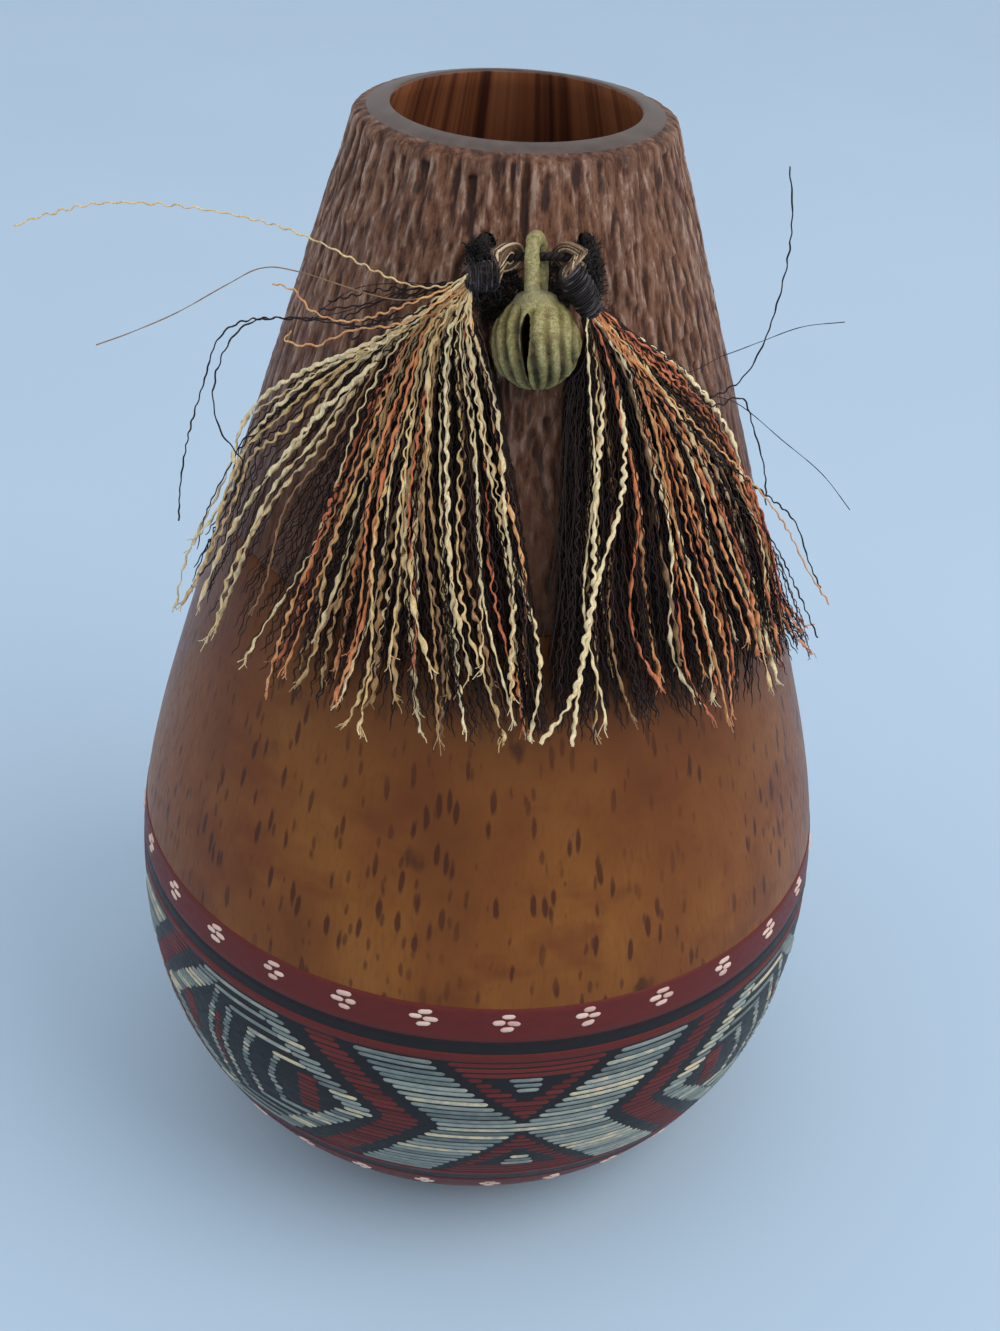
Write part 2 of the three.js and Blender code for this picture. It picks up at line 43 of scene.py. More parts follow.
# Sizes of the vase in millimetres and degrees, as in the part
VASE_HEIGHT = 250.0
BASE_RADIUS = 48.8
WIDEST_RADIUS = 81.4
WIDEST_HEIGHT = 69.7
MOUTH_RADIUS = 31.5
WALL_THICKNESS = 6.4
FLOOR_THICKNESS = 12.0
FLOOR_FILLET = 8.0
RIM_ROUND = 1.8
FOOT_SLOPE = 33.0
FOOT_HANDLE = 36.9
BELLY_HANDLE = 15.9
SHOULDER_HANDLE = 31.0
NECK_HANDLE = 134.0
NECK_LEAN = 17.25
BORDER_HEIGHT = 163.0
BORDER_WIDTH = 1.6
BORDER_DEPTH = 0.8

# Sizes of what hangs on the neck
CORD_RADIUS = 0.9
CORD_HEIGHT = 235.0
CORD_STANDOFF = 8.0
HOLE_ANGLE = 15.0
HOLE_DROP = 1.2
HANGER_SHIFT = -1.1
KNOT_RADIUS = 1.7
FOLD_SPACING = 11.4
FOLD_THICKNESS = 2.8
WHIPPING_RADIUS = 3.18
HEAD_PITCH = 20.0
HEAD_OFFSET = CORD_RADIUS + 0.4 + WHIPPING_RADIUS
BELL_RADIUS = 8.4
BELL_DROP = 15.5
BELL_LEAN = 21.17
BELL_YAW = -23.0
CAVITY_RADIUS = 6.6


# Arrays, paths and the wall of the vase

def unit(vectors):
    return vectors / np.linalg.norm(vectors, axis=-1, keepdims=True)


def lerp(a, b, share):
    return a + (b - a) * share


def smooth(low, high, value):
    share = np.clip((value - low) / (high - low), 0.0, 1.0)
    return share * share * (3 - 2 * share)


def cubic(a, b, c, d, t):
    t = t[..., None]
    return (1 - t) ** 3 * a + 3 * (1 - t) ** 2 * t * b + 3 * (1 - t) * t ** 2 * c + t ** 3 * d


def direction(angle):
    return np.array([math.cos(math.radians(angle)), math.sin(math.radians(angle))])


def outline():
    base = np.array([BASE_RADIUS, 0.0])
    widest = np.array([WIDEST_RADIUS, WIDEST_HEIGHT])
    mouth = np.array([MOUTH_RADIUS, VASE_HEIGHT])
    t = np.linspace(0, 1, 1500)
    foot = base + FOOT_HANDLE * direction(FOOT_SLOPE)
    bowl = cubic(base, foot, widest - [0, BELLY_HANDLE], widest, t)
    shoulder = widest + [0, SHOULDER_HANDLE]
    throat = mouth - NECK_HANDLE * direction(90 + NECK_LEAN)
    neck = cubic(widest, shoulder, throat, mouth, t)
    return np.vstack([bowl, neck[1:]])


OUTLINE = outline()
ARC = np.concatenate([[0], np.cumsum(np.linalg.norm(np.diff(OUTLINE, axis=0), axis=1))])
SLOPE = np.gradient(OUTLINE[:, 0], OUTLINE[:, 1])


def outer_radius(height):
    return np.interp(height, OUTLINE[:, 1], OUTLINE[:, 0])


def inner_radius(height):
    slope = np.interp(height, OUTLINE[:, 1], SLOPE)
    return outer_radius(height) - WALL_THICKNESS * np.hypot(1, slope)


def around(angle, radius, height):
    angle, radius, height = np.broadcast_arrays(np.radians(angle), radius, height)
    return np.stack([radius * np.sin(angle), -radius * np.cos(angle), height], axis=-1)


def to_wall(points):
    """Angle in degrees, height and distance from the wood."""
    angle = np.degrees(np.arctan2(points[..., 0], -points[..., 1]))
    off = np.hypot(points[..., 0], points[..., 1]) - outer_radius(points[..., 2])
    return np.stack([angle, points[..., 2], off], axis=-1)


def from_wall(places):
    return around(places[..., 0], outer_radius(places[..., 1]) + places[..., 2], places[..., 1])


def off_the_wood(points, least):
    """Moves what lies closer to the wood than that out from it."""
    places = to_wall(points)
    places[..., 2] = np.maximum(places[..., 2], least)
    return from_wall(places)


def spread(route, count):
    """A smooth path of that many points, evenly spaced, through the points of a route."""
    route = np.asarray(route, float)
    ends = np.vstack([2 * route[0] - route[1], route, 2 * route[-1] - route[-2]])
    t = np.linspace(0, 1, 24, endpoint=False)[:, None]
    parts = []
    for a, b, c, d in zip(ends, ends[1:], ends[2:], ends[3:]):
        parts.append(0.5 * (2 * b + (c - a) * t + (2 * a - 5 * b + 4 * c - d) * t ** 2
                            + (3 * b - a - 3 * c + d) * t ** 3))
    dense = np.vstack([*parts, route[-1:]])
    lengths = np.concatenate([[0], np.cumsum(np.linalg.norm(np.diff(dense, axis=0), axis=1))])
    at = np.linspace(0, lengths[-1], count)
    return np.stack([np.interp(at, lengths, dense[:, k]) for k in range(3)], axis=-1)


def run_lengths(paths):
    steps = np.linalg.norm(np.diff(paths, axis=1), axis=2)
    return np.concatenate([np.zeros((len(paths), 1)), np.cumsum(steps, axis=1)], axis=1)


def path_frame(paths):
    """The heading, the side and the face of each point on many paths."""
    heading = unit(np.gradient(paths, axis=1))
    outward = unit(paths * [1, 1, 0] + [0.013, 0.007, 0.021])
    side = unit(np.cross(heading, outward))
    return heading, side, np.cross(side, heading)


# Meshes

def join(parts):
    """One (points, faces, values) from several, values being a dict of numbers per point."""
    points, faces, values = [], [], {}
    start = 0
    for part_points, part_faces, part_values in parts:
        points.append(part_points)
        faces.extend([[corner + start for corner in face] for face in part_faces])
        for key, numbers in part_values.items():
            values.setdefault(key, []).append(np.broadcast_to(numbers, len(part_points)))
        start += len(part_points)
    return np.vstack(points), faces, {key: np.concatenate(rows) for key, rows in values.items()}


def sweep(paths, wide, thick, sides, turn=0.0, frame_of=path_frame):
    """Closed tubes along many paths, each with an oval section that may turn along the way."""
    count, steps = paths.shape[:2]
    heading, side, face = frame_of(paths)
    angle = 2 * math.pi * (np.arange(sides) + 0.5) / sides
    wide = np.broadcast_to(wide, (count, steps))[..., None] * np.cos(angle)
    thick = np.broadcast_to(thick, (count, steps))[..., None] * np.sin(angle)
    turn = np.broadcast_to(turn, (count, steps))[..., None]
    along_side = wide * np.cos(turn) - thick * np.sin(turn)
    along_face = wide * np.sin(turn) + thick * np.cos(turn)
    points = (paths[:, :, None] + along_side[..., None] * side[:, :, None]
              + along_face[..., None] * face[:, :, None]).reshape(-1, 3)
    k = np.arange(sides)
    after = (k + 1) % sides
    first = (np.arange(count)[:, None] * steps + np.arange(steps - 1)) * sides
    first = first[..., None]
    quads = np.stack([first + k, first + sides + k, first + sides + after, first + after], axis=-1)
    roots = np.arange(count)[:, None] * steps * sides
    caps = np.vstack([roots + k, roots + (steps - 1) * sides + k[::-1]])
    return points, quads.reshape(-1, 4).tolist() + caps.tolist()


def per_point(numbers, steps, sides):
    """Spreads one number per path, or per path and step, to the points of a sweep."""
    numbers = np.asarray(numbers, float)
    if numbers.ndim == 1:
        numbers = np.repeat(numbers[:, None], steps, axis=1)
    return np.repeat(numbers.reshape(-1), sides)


def fibres(paths, wide, thick, sides, tint, turn=0.0):
    """Swept fibres with their tint."""
    points, faces = sweep(paths, wide, thick, sides, turn)
    return points, faces, {"tint": per_point(tint, paths.shape[1], sides)}


def draws(rng, count):
    """Draws one number per strand, as a column."""
    return lambda low, high: rng.uniform(low, high, (count, 1))


def mesh_object(name, points, faces, values=None, scale=MM):
    mesh = bpy.data.meshes.new(name)
    mesh.from_pydata((np.asarray(points) * scale).tolist(), [], faces)
    for key, numbers in (values or {}).items():
        numbers = np.ascontiguousarray(np.broadcast_to(numbers, len(points)), np.float32)
        mesh.attributes.new(key, "FLOAT", "POINT").data.foreach_set("value", numbers)
    mesh.polygons.foreach_set("use_smooth", [True] * len(mesh.polygons))
    mesh.update()
    made = bpy.data.objects.new(name, mesh)
    bpy.context.collection.objects.link(made)
    return made


def settle(piece, body, slot, materials, *nodes):
    """Gives a piece its materials and its body, and hides the solids that it stands for; its slot is not
    used.
    """
    for material in materials:
        piece.data.materials.append(material)
    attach(piece, body)
    if nodes:
        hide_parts(*nodes)
    return piece


def apply_modifiers(piece):
    depsgraph = bpy.context.evaluated_depsgraph_get()
    mesh = bpy.data.meshes.new_from_object(piece.evaluated_get(depsgraph))
    old = piece.data
    piece.modifiers.clear()
    piece.data = mesh
    bpy.data.meshes.remove(old)


def cut(piece, cutter):
    """Takes one object's volume out of another, then removes it."""
    boolean = piece.modifiers.new("cut", "BOOLEAN")
    boolean.operation = "DIFFERENCE"
    boolean.solver = "EXACT"
    boolean.material_mode = "TRANSFER"
    boolean.object = cutter
    apply_modifiers(piece)
    bpy.data.objects.remove(cutter)


def rings_to_faces(rings):
    """Points and faces of a stack of rings, each with as many points as the one before, twice or half."""
    points = np.vstack(rings)
    starts = np.cumsum([0] + [len(ring) for ring in rings])
    faces, owner = [], []
    for i, (low, high) in enumerate(zip(rings, rings[1:])):
        a, b = len(low), len(high)
        k = np.arange(min(a, b))
        p, q = starts[i], starts[i + 1]
        if a == b:
            made = np.stack([p + k, p + (k + 1) % a, q + (k + 1) % a, q + k], axis=-1).tolist()
        elif b == 2 * a:
            after = p + (k + 1) % a
            middle = q + 2 * k + 1
            last = q + (2 * k + 2) % b
            made = np.stack([p + k, after, middle], axis=-1).tolist()
            made += np.stack([p + k, middle, q + 2 * k], axis=-1).tolist()
            made += np.stack([after, last, middle], axis=-1).tolist()
        else:
            after = q + (k + 1) % b
            middle = p + 2 * k + 1
            last = p + (2 * k + 2) % a
            made = np.stack([p + 2 * k, middle, q + k], axis=-1).tolist()
            made += np.stack([middle, after, q + k], axis=-1).tolist()
            made += np.stack([middle, last, after], axis=-1).tolist()
        faces += made
        owner += [i] * len(made)
    faces.append(list(range(len(rings[0])))[::-1])
    faces.append(list(range(starts[-2], starts[-1])))
    owner += [0, len(rings) - 2]
    return points, faces, np.array(owner)


# Materials

BELLY_DRUM = 72.0
NECK_DRUM = 42.0


def srgb(red, green, blue):
    """A colour as it shows, from 0 to 255, in the linear numbers that shaders read."""
    shares = [channel / 255 for channel in (red, green, blue)]
    return (*[s / 12.92 if s <= 0.04045 else ((s + 0.055) / 1.055) ** 2.4 for s in shares], 1.0)


def node(kind, inputs, owner=None, **settings):
    """A node in the tree of its first linked input, or of another node."""
    linked = [value for value in inputs.values() if isinstance(value, bpy.types.NodeSocket)]
    tree = (owner or linked[0]).id_data
    made = tree.nodes.new("ShaderNode" + kind)
    for key, value in settings.items():
        setattr(made, key, value)
    for key, value in inputs.items():
        if isinstance(value, bpy.types.NodeSocket):
            tree.links.new(value, made.inputs[key])
        else:
            made.inputs[key].default_value = value
    return made


def new_material(name, shine=0.5, **constants):
    """A material and its shader, with what is the same all over set on the shader."""
    made = bpy.data.materials.new(name)
    made.use_nodes = True
    shader = made.node_tree.nodes["Principled BSDF"]
    shader.inputs["Specular IOR Level"].default_value = shine
    for key, value in constants.items():
        shader.inputs[key.replace("_", " ").title()].default_value = value
    return made, shader


def feed(shader, socket, source):
    shader.id_data.links.new(source, shader.inputs[socket])


def place(shader):
    return node("TexCoord", {}, shader).outputs["Object"]


def stretched(vector, x, y, z, shift=0.0):
    """Coordinates in which a feature of those sizes in millimetres is one unit."""
    scale = (1000 / x, 1000 / y, 1000 / z)
    shifted = (shift, 0.7 * shift, 1.3 * shift)
    return node("Mapping", {"Vector": vector, "Scale": scale, "Location": shifted}).outputs[0]


def noise_of(vector, detail=3.0, roughness=0.55, distortion=0.0):
    made = node("TexNoise", {
        "Vector": vector, "Scale": 1.0, "Detail": detail, "Roughness": roughness, "Distortion": distortion,
    })
    return made.outputs[0]


def value_of(shader, name):
    return node("Attribute", {}, shader, attribute_name=name).outputs["Fac"]


def math_of(operation, a, b):
    return node("Math", {0: a, 1: b}, operation=operation).outputs[0]


def times(a, b):
    return math_of("MULTIPLY", a, b)


def plus(a, b):
    return math_of("ADD", a, b)


def minus(a, b):
    return math_of("SUBTRACT", a, b)


def larger(a, b):
    return math_of("MAXIMUM", a, b)


def between(value, low, high, to_low=0.0, to_high=1.0):
    """A value's place between two others, as a smooth share."""
    made = node("MapRange", {
        "Value": value, "From Min": low, "From Max": high, "To Min": to_low, "To Max": to_high,
    }, interpolation_type="SMOOTHSTEP")
    return made.outputs[0]


def blend(share, a, b, way="MIX"):
    made = node("Mix", {0: share, 6: a, 7: b}, data_type="RGBA", blend_type=way)
    return made.outputs[2]


def ramp(factor, stops):
    made = node("ValToRGB", {"Fac": factor})
    elements = made.color_ramp.elements
    while len(elements) < len(stops):
        elements.new(0.5)
    for element, (position, colour) in zip(elements, stops):
        element.position = position
        element.color = colour
    return made.outputs[0]


def surface(shader, colour, roughness, height, strength, depth):
    """Links colour, roughness and fine relief of a depth in millimetres to a shader."""
    feed(shader, "Base Color", colour)
    feed(shader, "Roughness", roughness)
    relief = node("Bump", {"Height": height, "Strength": strength, "Distance": depth * MM})
    feed(shader, "Normal", relief.outputs[0])


def way_out(vector):
    """The level direction from the vase's axis."""
    level = node("VectorMath", {0: vector, 1: (1.0, 1.0, 0.0)}, operation="MULTIPLY").outputs[0]
    return node("VectorMath", {0: level}, operation="NORMALIZE").outputs[0]


def on_drum(vector, radius):
    """The place level with a point on an upright drum, so that spots keep their shape on a sloping wall."""
    up = node("VectorMath", {0: vector, 1: (0.0, 0.0, 1.0)}, operation="MULTIPLY").outputs[0]
    size = (radius * MM, radius * MM, 0.0)
    return node("VectorMath", {0: way_out(vector), 1: size, 2: up}, operation="MULTIPLY_ADD").outputs[0]


def flecks(vector, width, length, reach, share, shift, bend=0.0012):
    """A mask of upright lens-shaped spots; share is how many of them there are."""
    wave = node("TexNoise", {"Vector": stretched(vector, 3, 3, 6, shift), "Scale": 1.0})
    pulled = node("VectorMath", {0: wave.outputs[1], 1: (0.5, 0.5, 0.5)}, operation="SUBTRACT")
    bent = node("VectorMath", {0: pulled.outputs[0], "Scale": bend}, operation="SCALE")
    moved = node("VectorMath", {0: vector, 1: bent.outputs[0]}, operation="ADD")
    cells = node("TexVoronoi", {
        "Vector": stretched(moved.outputs[0], width, width, length, shift), "Scale": 1.0,
    })
    size = between(cells.outputs["Color"], 0.85 - share, 1.15 - share, 0.0, reach)
    inside = minus(size, cells.outputs["Distance"])
    return between(inside, -0.03, 0.1)


def polished_wood():
    made, shader = new_material("polished_wood", 0.16, Coat_weight=0.07, Coat_roughness=0.3)
    at = place(shader)
    drum = on_drum(at, BELLY_DRUM)
    tone = noise_of(stretched(at, 26, 26, 40), 3)
    cloud = noise_of(stretched(at, 21, 21, 12, 5.0), 3)
    grain = noise_of(stretched(at, 0.8, 0.8, 20), 4)
    colour = ramp(tone, [
        (0.3, srgb(106, 58, 20)), (0.45, srgb(121, 69, 25)),
        (0.6, srgb(133, 81, 31)), (0.75, srgb(143, 93, 42)),
    ])
    colour = blend(between(cloud, 0.5, 0.72, 0.0, 0.6), colour, srgb(99, 46, 17))
    up = node("SeparateXYZ", {0: at}).outputs[2]
    colour = blend(between(up, 0.098, 0.155, 0.0, 0.6), colour, srgb(84, 41, 17))
    colour = blend(between(grain, 0.45, 0.75, 0.0, 0.3), colour, srgb(92, 47, 18))
    ragged = noise_of(stretched(at, 4, 4, 5, 8.0), 3, 0.6)
    blotch = times(flecks(drum, 17, 15, 0.19, 0.5, 7.0, 0.005), between(ragged, 0.3, 0.5))
    colour = blend(times(blotch, 0.75), colour, srgb(56, 25, 13))
    crowd = between(noise_of(stretched(at, 24, 24, 30, 9.0), 2), 0.38, 0.56, 0.4, 1.0)
    long = flecks(drum, 2.5, 10.5, 0.28, 0.85, 1.0)
    short = flecks(drum, 2.2, 7.0, 0.26, 0.6, 4.0)
    spots = larger(long, times(short, 0.7))
    spots = times(spots, crowd)
    colour = blend(times(spots, 0.82), colour, srgb(62, 26, 12))
    gloss = between(grain, 0.3, 0.7, 0.32, 0.46)
    surface(shader, colour, gloss, minus(times(grain, 0.25), spots), 0.3, 0.1)
    return made


def carved_wood():
    made, shader = new_material("carved_wood", 0.3, Coat_weight=0.08, Coat_roughness=0.32)
    at = place(shader)
    broad = noise_of(stretched(at, 2.3, 2.3, 15, 6.0), 3, 0.6)
    streak = noise_of(stretched(at, 1.0, 1.0, 6.5), 4, 0.62)
    tone = noise_of(stretched(at, 7, 7, 13, 3.0), 3, 0.6)
    fine = noise_of(stretched(at, 0.45, 0.45, 1.6), 4, 0.7)
    # Painted light and shade of the carving: the depth attribute lightens the ridges as a painted highlight
    # and darkens the hollows as painted shade; the noise added to it is grain.
    painted_shade_and_grain = value_of(shader, "depth")
    for source, weight in ((broad, 1.5), (streak, 1.1), (fine, 0.6)):
        part = times(minus(source, 0.5), weight)
        painted_shade_and_grain = plus(painted_shade_and_grain, part)
    colour = ramp(painted_shade_and_grain, [
        (0.0, srgb(162, 132, 115)), (0.2, srgb(130, 94, 74)),
        (0.44, srgb(108, 69, 47)), (0.7, srgb(82, 45, 28)),
        (0.95, srgb(48, 23, 14)),
    ])
    colour = blend(between(tone, 0.5, 0.36, 0.0, 0.45), colour, srgb(118, 76, 48))
    colour = blend(between(tone, 0.5, 0.66, 0.0, 0.45), colour, srgb(74, 39, 23))
    # Darker towards the bottom of the carving: painted shade of the tassels that hang over it.
    low = between(node("SeparateXYZ", {0: at}).outputs[2], 0.172, 0.224, 0.7, 0.0)
    colour = blend(low, colour, srgb(88, 49, 27))
    bundles = flecks(on_drum(at, NECK_DRUM), 2.2, 8.0, 0.28, 0.75, 2.0)
    # Darkest in the deepest hollows, which is painted shade, and along the dark bundles of the palm wood.
    dark = larger(between(painted_shade_and_grain, 0.5, 0.95, 0.0, 0.75), times(bundles, 0.75))
    colour = blend(dark, colour, srgb(46, 22, 14))
    gloss = between(painted_shade_and_grain, 0.0, 0.8, 0.36, 0.62)
    surface(shader, colour, gloss, plus(fine, times(streak, 1.2)), 0.7, 0.35)
    return made


def rim_wood():
    made, shader = new_material("rim_wood", 0.35, Coat_weight=0.05, Coat_roughness=0.3)
    at = place(shader)
    tone = noise_of(stretched(at, 5, 5, 9), 4, 0.6)
    colour = ramp(tone, [(0.3, srgb(58, 44, 38)), (0.5, srgb(78, 64, 58)), (0.75, srgb(96, 84, 80))])
    gloss = between(tone, 0.3, 0.8, 0.4, 0.55)
    surface(shader, colour, gloss, noise_of(stretched(at, 0.6, 0.6, 0.6), 3), 0.25, 0.1)
    return made


def inside_wood():
    """Bare wood with straight dark bundles up the wall, placed by the direction from the axis."""
    made, shader = new_material("inside_wood", 0.25)
    way = way_out(place(shader))
    broad = noise_of(stretched(way, 120, 120, 1000, 2.0), 1, 0.5)
    thin = noise_of(stretched(way, 30, 30, 1000, 6.0), 2, 0.6)
    stripe = plus(broad, times(minus(thin, 0.5), 0.4))
    colour = ramp(stripe, [
        (0.3, srgb(66, 34, 26)), (0.42, srgb(104, 60, 40)),
        (0.52, srgb(126, 75, 48)), (0.68, srgb(142, 90, 61)),
    ])
    surface(shader, colour, between(thin, 0.3, 0.7, 0.55, 0.4), thin, 0.4, 0.3)
    return made


def dark_bore():
    made, shader = new_material("dark_bore")
    tone = noise_of(stretched(place(shader), 0.8, 0.8, 0.8), 4)
    # Near black: painted shade on the walls and mouths of the holes.
    colour = ramp(tone, [(0.3, srgb(14, 10, 9)), (0.8, srgb(34, 24, 20))])
    surface(shader, colour, between(tone, 0.2, 0.8, 0.7, 0.95), tone, 0.5, 0.2)
    return made


def paint(name, stops, gloss):
    """Brushed enamel, a little uneven in colour, with a tint for each stroke."""
    made, shader = new_material(name, 0.22, Coat_weight=0.04, Coat_roughness=0.3)
    at = place(shader)
    patch = noise_of(stretched(at, 2.6, 2.6, 1.2), 4, 0.6)
    tint = plus(times(value_of(shader, "tint"), 0.55), times(patch, 0.6))
    surface(shader, ramp(tint, stops), between(patch, 0.3, 0.7, gloss, gloss + 0.16), patch, 0.3, 0.08)
    return made


def brass():
    made, shader = new_material("patinated_brass", 0.6, Metallic=0.3)
    at = place(shader)
    depth = value_of(shader, "depth")
    grain = noise_of(stretched(at, 0.42, 0.42, 0.42), 5, 0.72)
    patch = noise_of(stretched(at, 2.6, 2.6, 2.6), 4, 0.6)
    tone = minus(plus(times(grain, 1.0), times(patch, 0.7)), plus(times(depth, 0.82), 0.1))
    colour = ramp(tone, [
        (0.02, srgb(46, 38, 19)), (0.3, srgb(92, 83, 42)),
        (0.6, srgb(130, 121, 69)), (0.85, srgb(182, 172, 122)),
    ])
    colour = blend(between(patch, 0.47, 0.64, 0.0, 0.65), colour, srgb(102, 80, 40))
    ash = times(value_of(shader, "band"), between(grain, 0.4, 0.62, 0.0, 0.75))
    colour = blend(ash, colour, srgb(136, 133, 118))
    surface(shader, colour, between(grain, 0.3, 0.7, 0.62, 0.36), grain, 0.9, 0.25)
    return made


def dull_iron():
    made, shader = new_material("dull_iron", Metallic=0.8)
    grain = noise_of(stretched(place(shader), 0.9, 0.9, 0.9), 4, 0.65)
    colour = ramp(grain, [(0.3, srgb(58, 50, 46)), (0.75, srgb(96, 80, 70))])
    surface(shader, colour, between(grain, 0.3, 0.7, 0.5, 0.75), grain, 0.5, 0.15)
    return made


def fibre(name, stops, roughness, sheen, shine=0.3, streaks=0.4):
    """Plant fibre: a tint for each strand, uneven along its length."""
    made, shader = new_material(name, shine, Sheen_weight=sheen, Sheen_roughness=0.4)
    at = place(shader)
    patch = noise_of(stretched(at, 2.2, 2.2, 3.4), 3, 0.6)
    tint = plus(value_of(shader, "tint"), times(minus(patch, 0.5), 0.3))
    colour = ramp(tint, stops)
    line = noise_of(stretched(at, 0.35, 0.35, 2.5), 3, 0.6)
    shade = between(line, 0.4, 0.62, streaks, 0.0)
    colour = blend(shade, colour, srgb(36, 22, 15))
    gloss = between(line, 0.3, 0.7, roughness - 0.08, roughness + 0.1)
    surface(shader, colour, gloss, line, 0.5, 0.08)
    return made


def light_fibre():
    return fibre("light_fibre", [
        (0.0, srgb(98, 66, 42)), (0.2, srgb(174, 128, 76)),
        (0.36, srgb(232, 192, 126)), (0.52, srgb(255, 232, 182)),
        (0.64, srgb(240, 196, 128)), (0.74, srgb(230, 154, 90)),
        (0.86, srgb(218, 114, 64)), (1.0, srgb(180, 84, 54)),
    ], 0.36, 0.12, 0.6, 0.3)


def dark_fibre():
    return fibre("dark_fibre", [
        (0.0, srgb(21, 14, 14)), (0.45, srgb(39, 26, 24)),
        (0.8, srgb(66, 44, 38)), (1.0, srgb(116, 80, 60)),
    ], 0.5, 0.0, 0.22)


def folded_fibre():
    return fibre("folded_fibre", [
        (0.0, srgb(46, 31, 24)), (0.35, srgb(98, 70, 50)),
        (0.65, srgb(172, 138, 104)), (1.0, srgb(226, 200, 164)),
    ], 0.5, 0.1)


def black_thread():
    # The grey end of the ramp is a painted highlight on the black thread.
    return fibre("black_thread", [
        (0.0, srgb(14, 12, 14)), (0.5, srgb(36, 31, 35)), (1.0, srgb(112, 101, 106)),
    ], 0.48, 0.03)


def cord_yarn():
    return fibre("cord_yarn", [(0.0, srgb(16, 13, 13)), (1.0, srgb(46, 39, 38))], 0.6, 0.05, 0.2)


# The turned body with its carved zone

CARVED_COLUMNS = 720
BELLY_COLUMNS = 180
INSIDE_COLUMNS = 180
CARVED_FROM = 164.8
CARVED_TO = 247.0
CARVED_STEP = 0.9
RIM_DROP = 1.5
RIM_EDGE = 2.5
RIM_INNER_EDGE = 0.6
CARVED_EDGE = 164.3
SCOOP_PITCH = 1.9
SCOOP_ROW = 4.6
FLUTES = 52
HOLE_SIDES = 28
HOLE_SECTIONS = ((-12, 2.1), (-3.2, 2.1), (-0.9, 2.1), (0.6, 2.3), (4, 2.8))


def ring(columns, radius, height):
    return around(np.arange(columns) * 360 / columns - 180, radius, height)


def gouge(depths, heights, angle, height, half_width, half_length, deep, lean, blunt):
    """Cuts one long scoop into the grid of depths; a blunt one has a steep upper end."""
    rows = np.nonzero(np.abs(heights - height) < half_length)[0]
    if not len(rows):
        return
    per_column = 2 * math.pi * outer_radius(height) / CARVED_COLUMNS
    reach = int(half_width / per_column) + 3
    middle = int(round((angle + 180) / 360 * CARVED_COLUMNS))
    columns = np.arange(middle - reach, middle + reach + 1)
    along = ((heights[rows] - height) / half_length)[:, None]
    across = ((columns - (angle + 180) / 360 * CARVED_COLUMNS) * per_column)[None]
    across = across - lean * along * half_length
    hollow = np.clip(1 - (across / half_width) ** 2, 0, None)
    if blunt:
        taper = 0.35 + 0.65 * smooth(-1.0, 0.7, along)
        hollow = hollow * smooth(1.0, 0.9, along) * taper * smooth(-1, -0.6, along)
    else:
        hollow = hollow * np.clip(1 - np.abs(along) ** 3, 0, None)
    grid = np.ix_(rows, columns % CARVED_COLUMNS)
    depths[grid] = np.maximum(depths[grid], deep * hollow)


def gouges(heights):
    """Depths of the carved zone: short overlapping scoops, and blunt flutes under the rim."""
    rng = np.random.default_rng(11)
    depths = np.zeros((len(heights), CARVED_COLUMNS))
    height = CARVED_FROM
    while height < CARVED_TO - 4:
        count = int(2 * math.pi * outer_radius(height) / SCOOP_PITCH)
        for k in range(count):
            angle = (k + rng.uniform(-0.8, 0.8)) * 360 / count - 180
            half_length = rng.uniform(1.6, 6.0)
            middle = min(height + rng.uniform(-3, 3), CARVED_TO - 0.6 - half_length)
            gouge(depths, heights, angle, middle, rng.uniform(0.45, 1.7), half_length,
                  rng.uniform(0.1, 0.95), rng.normal(0, 0.13), rng.uniform() < 0.4)
        height += SCOOP_ROW
    depths *= unevenness(rng, heights)
    for k in range(FLUTES):
        angle = (k + rng.uniform(-0.7, 0.7)) * 360 / FLUTES - 180
        half_length = rng.uniform(2.5, 11)
        middle = CARVED_TO + rng.uniform(-1.2, 2.2) - half_length
        gouge(depths, heights, angle, middle, rng.uniform(0.7, 2.1), half_length,
              rng.uniform(0.4, 1.4), rng.normal(0, 0.06), True)
    rough = rng.normal(size=depths.shape)
    for shift in (1, 2):
        rough = rough + np.roll(rough, shift, axis=0)
    depths = depths + 0.035 * rough
    return depths * lerp(0.5, 1.0, smooth(168, 205, heights))[:, None]


def unevenness(rng, heights):
    """Slow changes of the carving's depth over the neck."""
    rows, columns = 11, 44
    coarse = rng.uniform(0.3, 1.3, (rows, columns))
    coarse = np.hstack([coarse, coarse[:, :1]])
    at = np.linspace(0, columns, CARVED_COLUMNS, endpoint=False)
    across = np.array([np.interp(at, np.arange(columns + 1), row) for row in coarse])
    up = np.linspace(CARVED_FROM, CARVED_TO, rows)
    return np.array([np.interp(heights, up, column) for column in across.T]).T


def ridge_shade(depths):
    """From 0 on the ridges to 1 in the hollows: painted highlight on the ridges, painted shade in the
    hollows.
    """
    level = sum(np.roll(depths, shift, axis=1) for shift in range(-5, 6)) / 11
    return np.clip(0.36 + 1.15 * (depths - level) + 0.2 * depths, 0, 1)


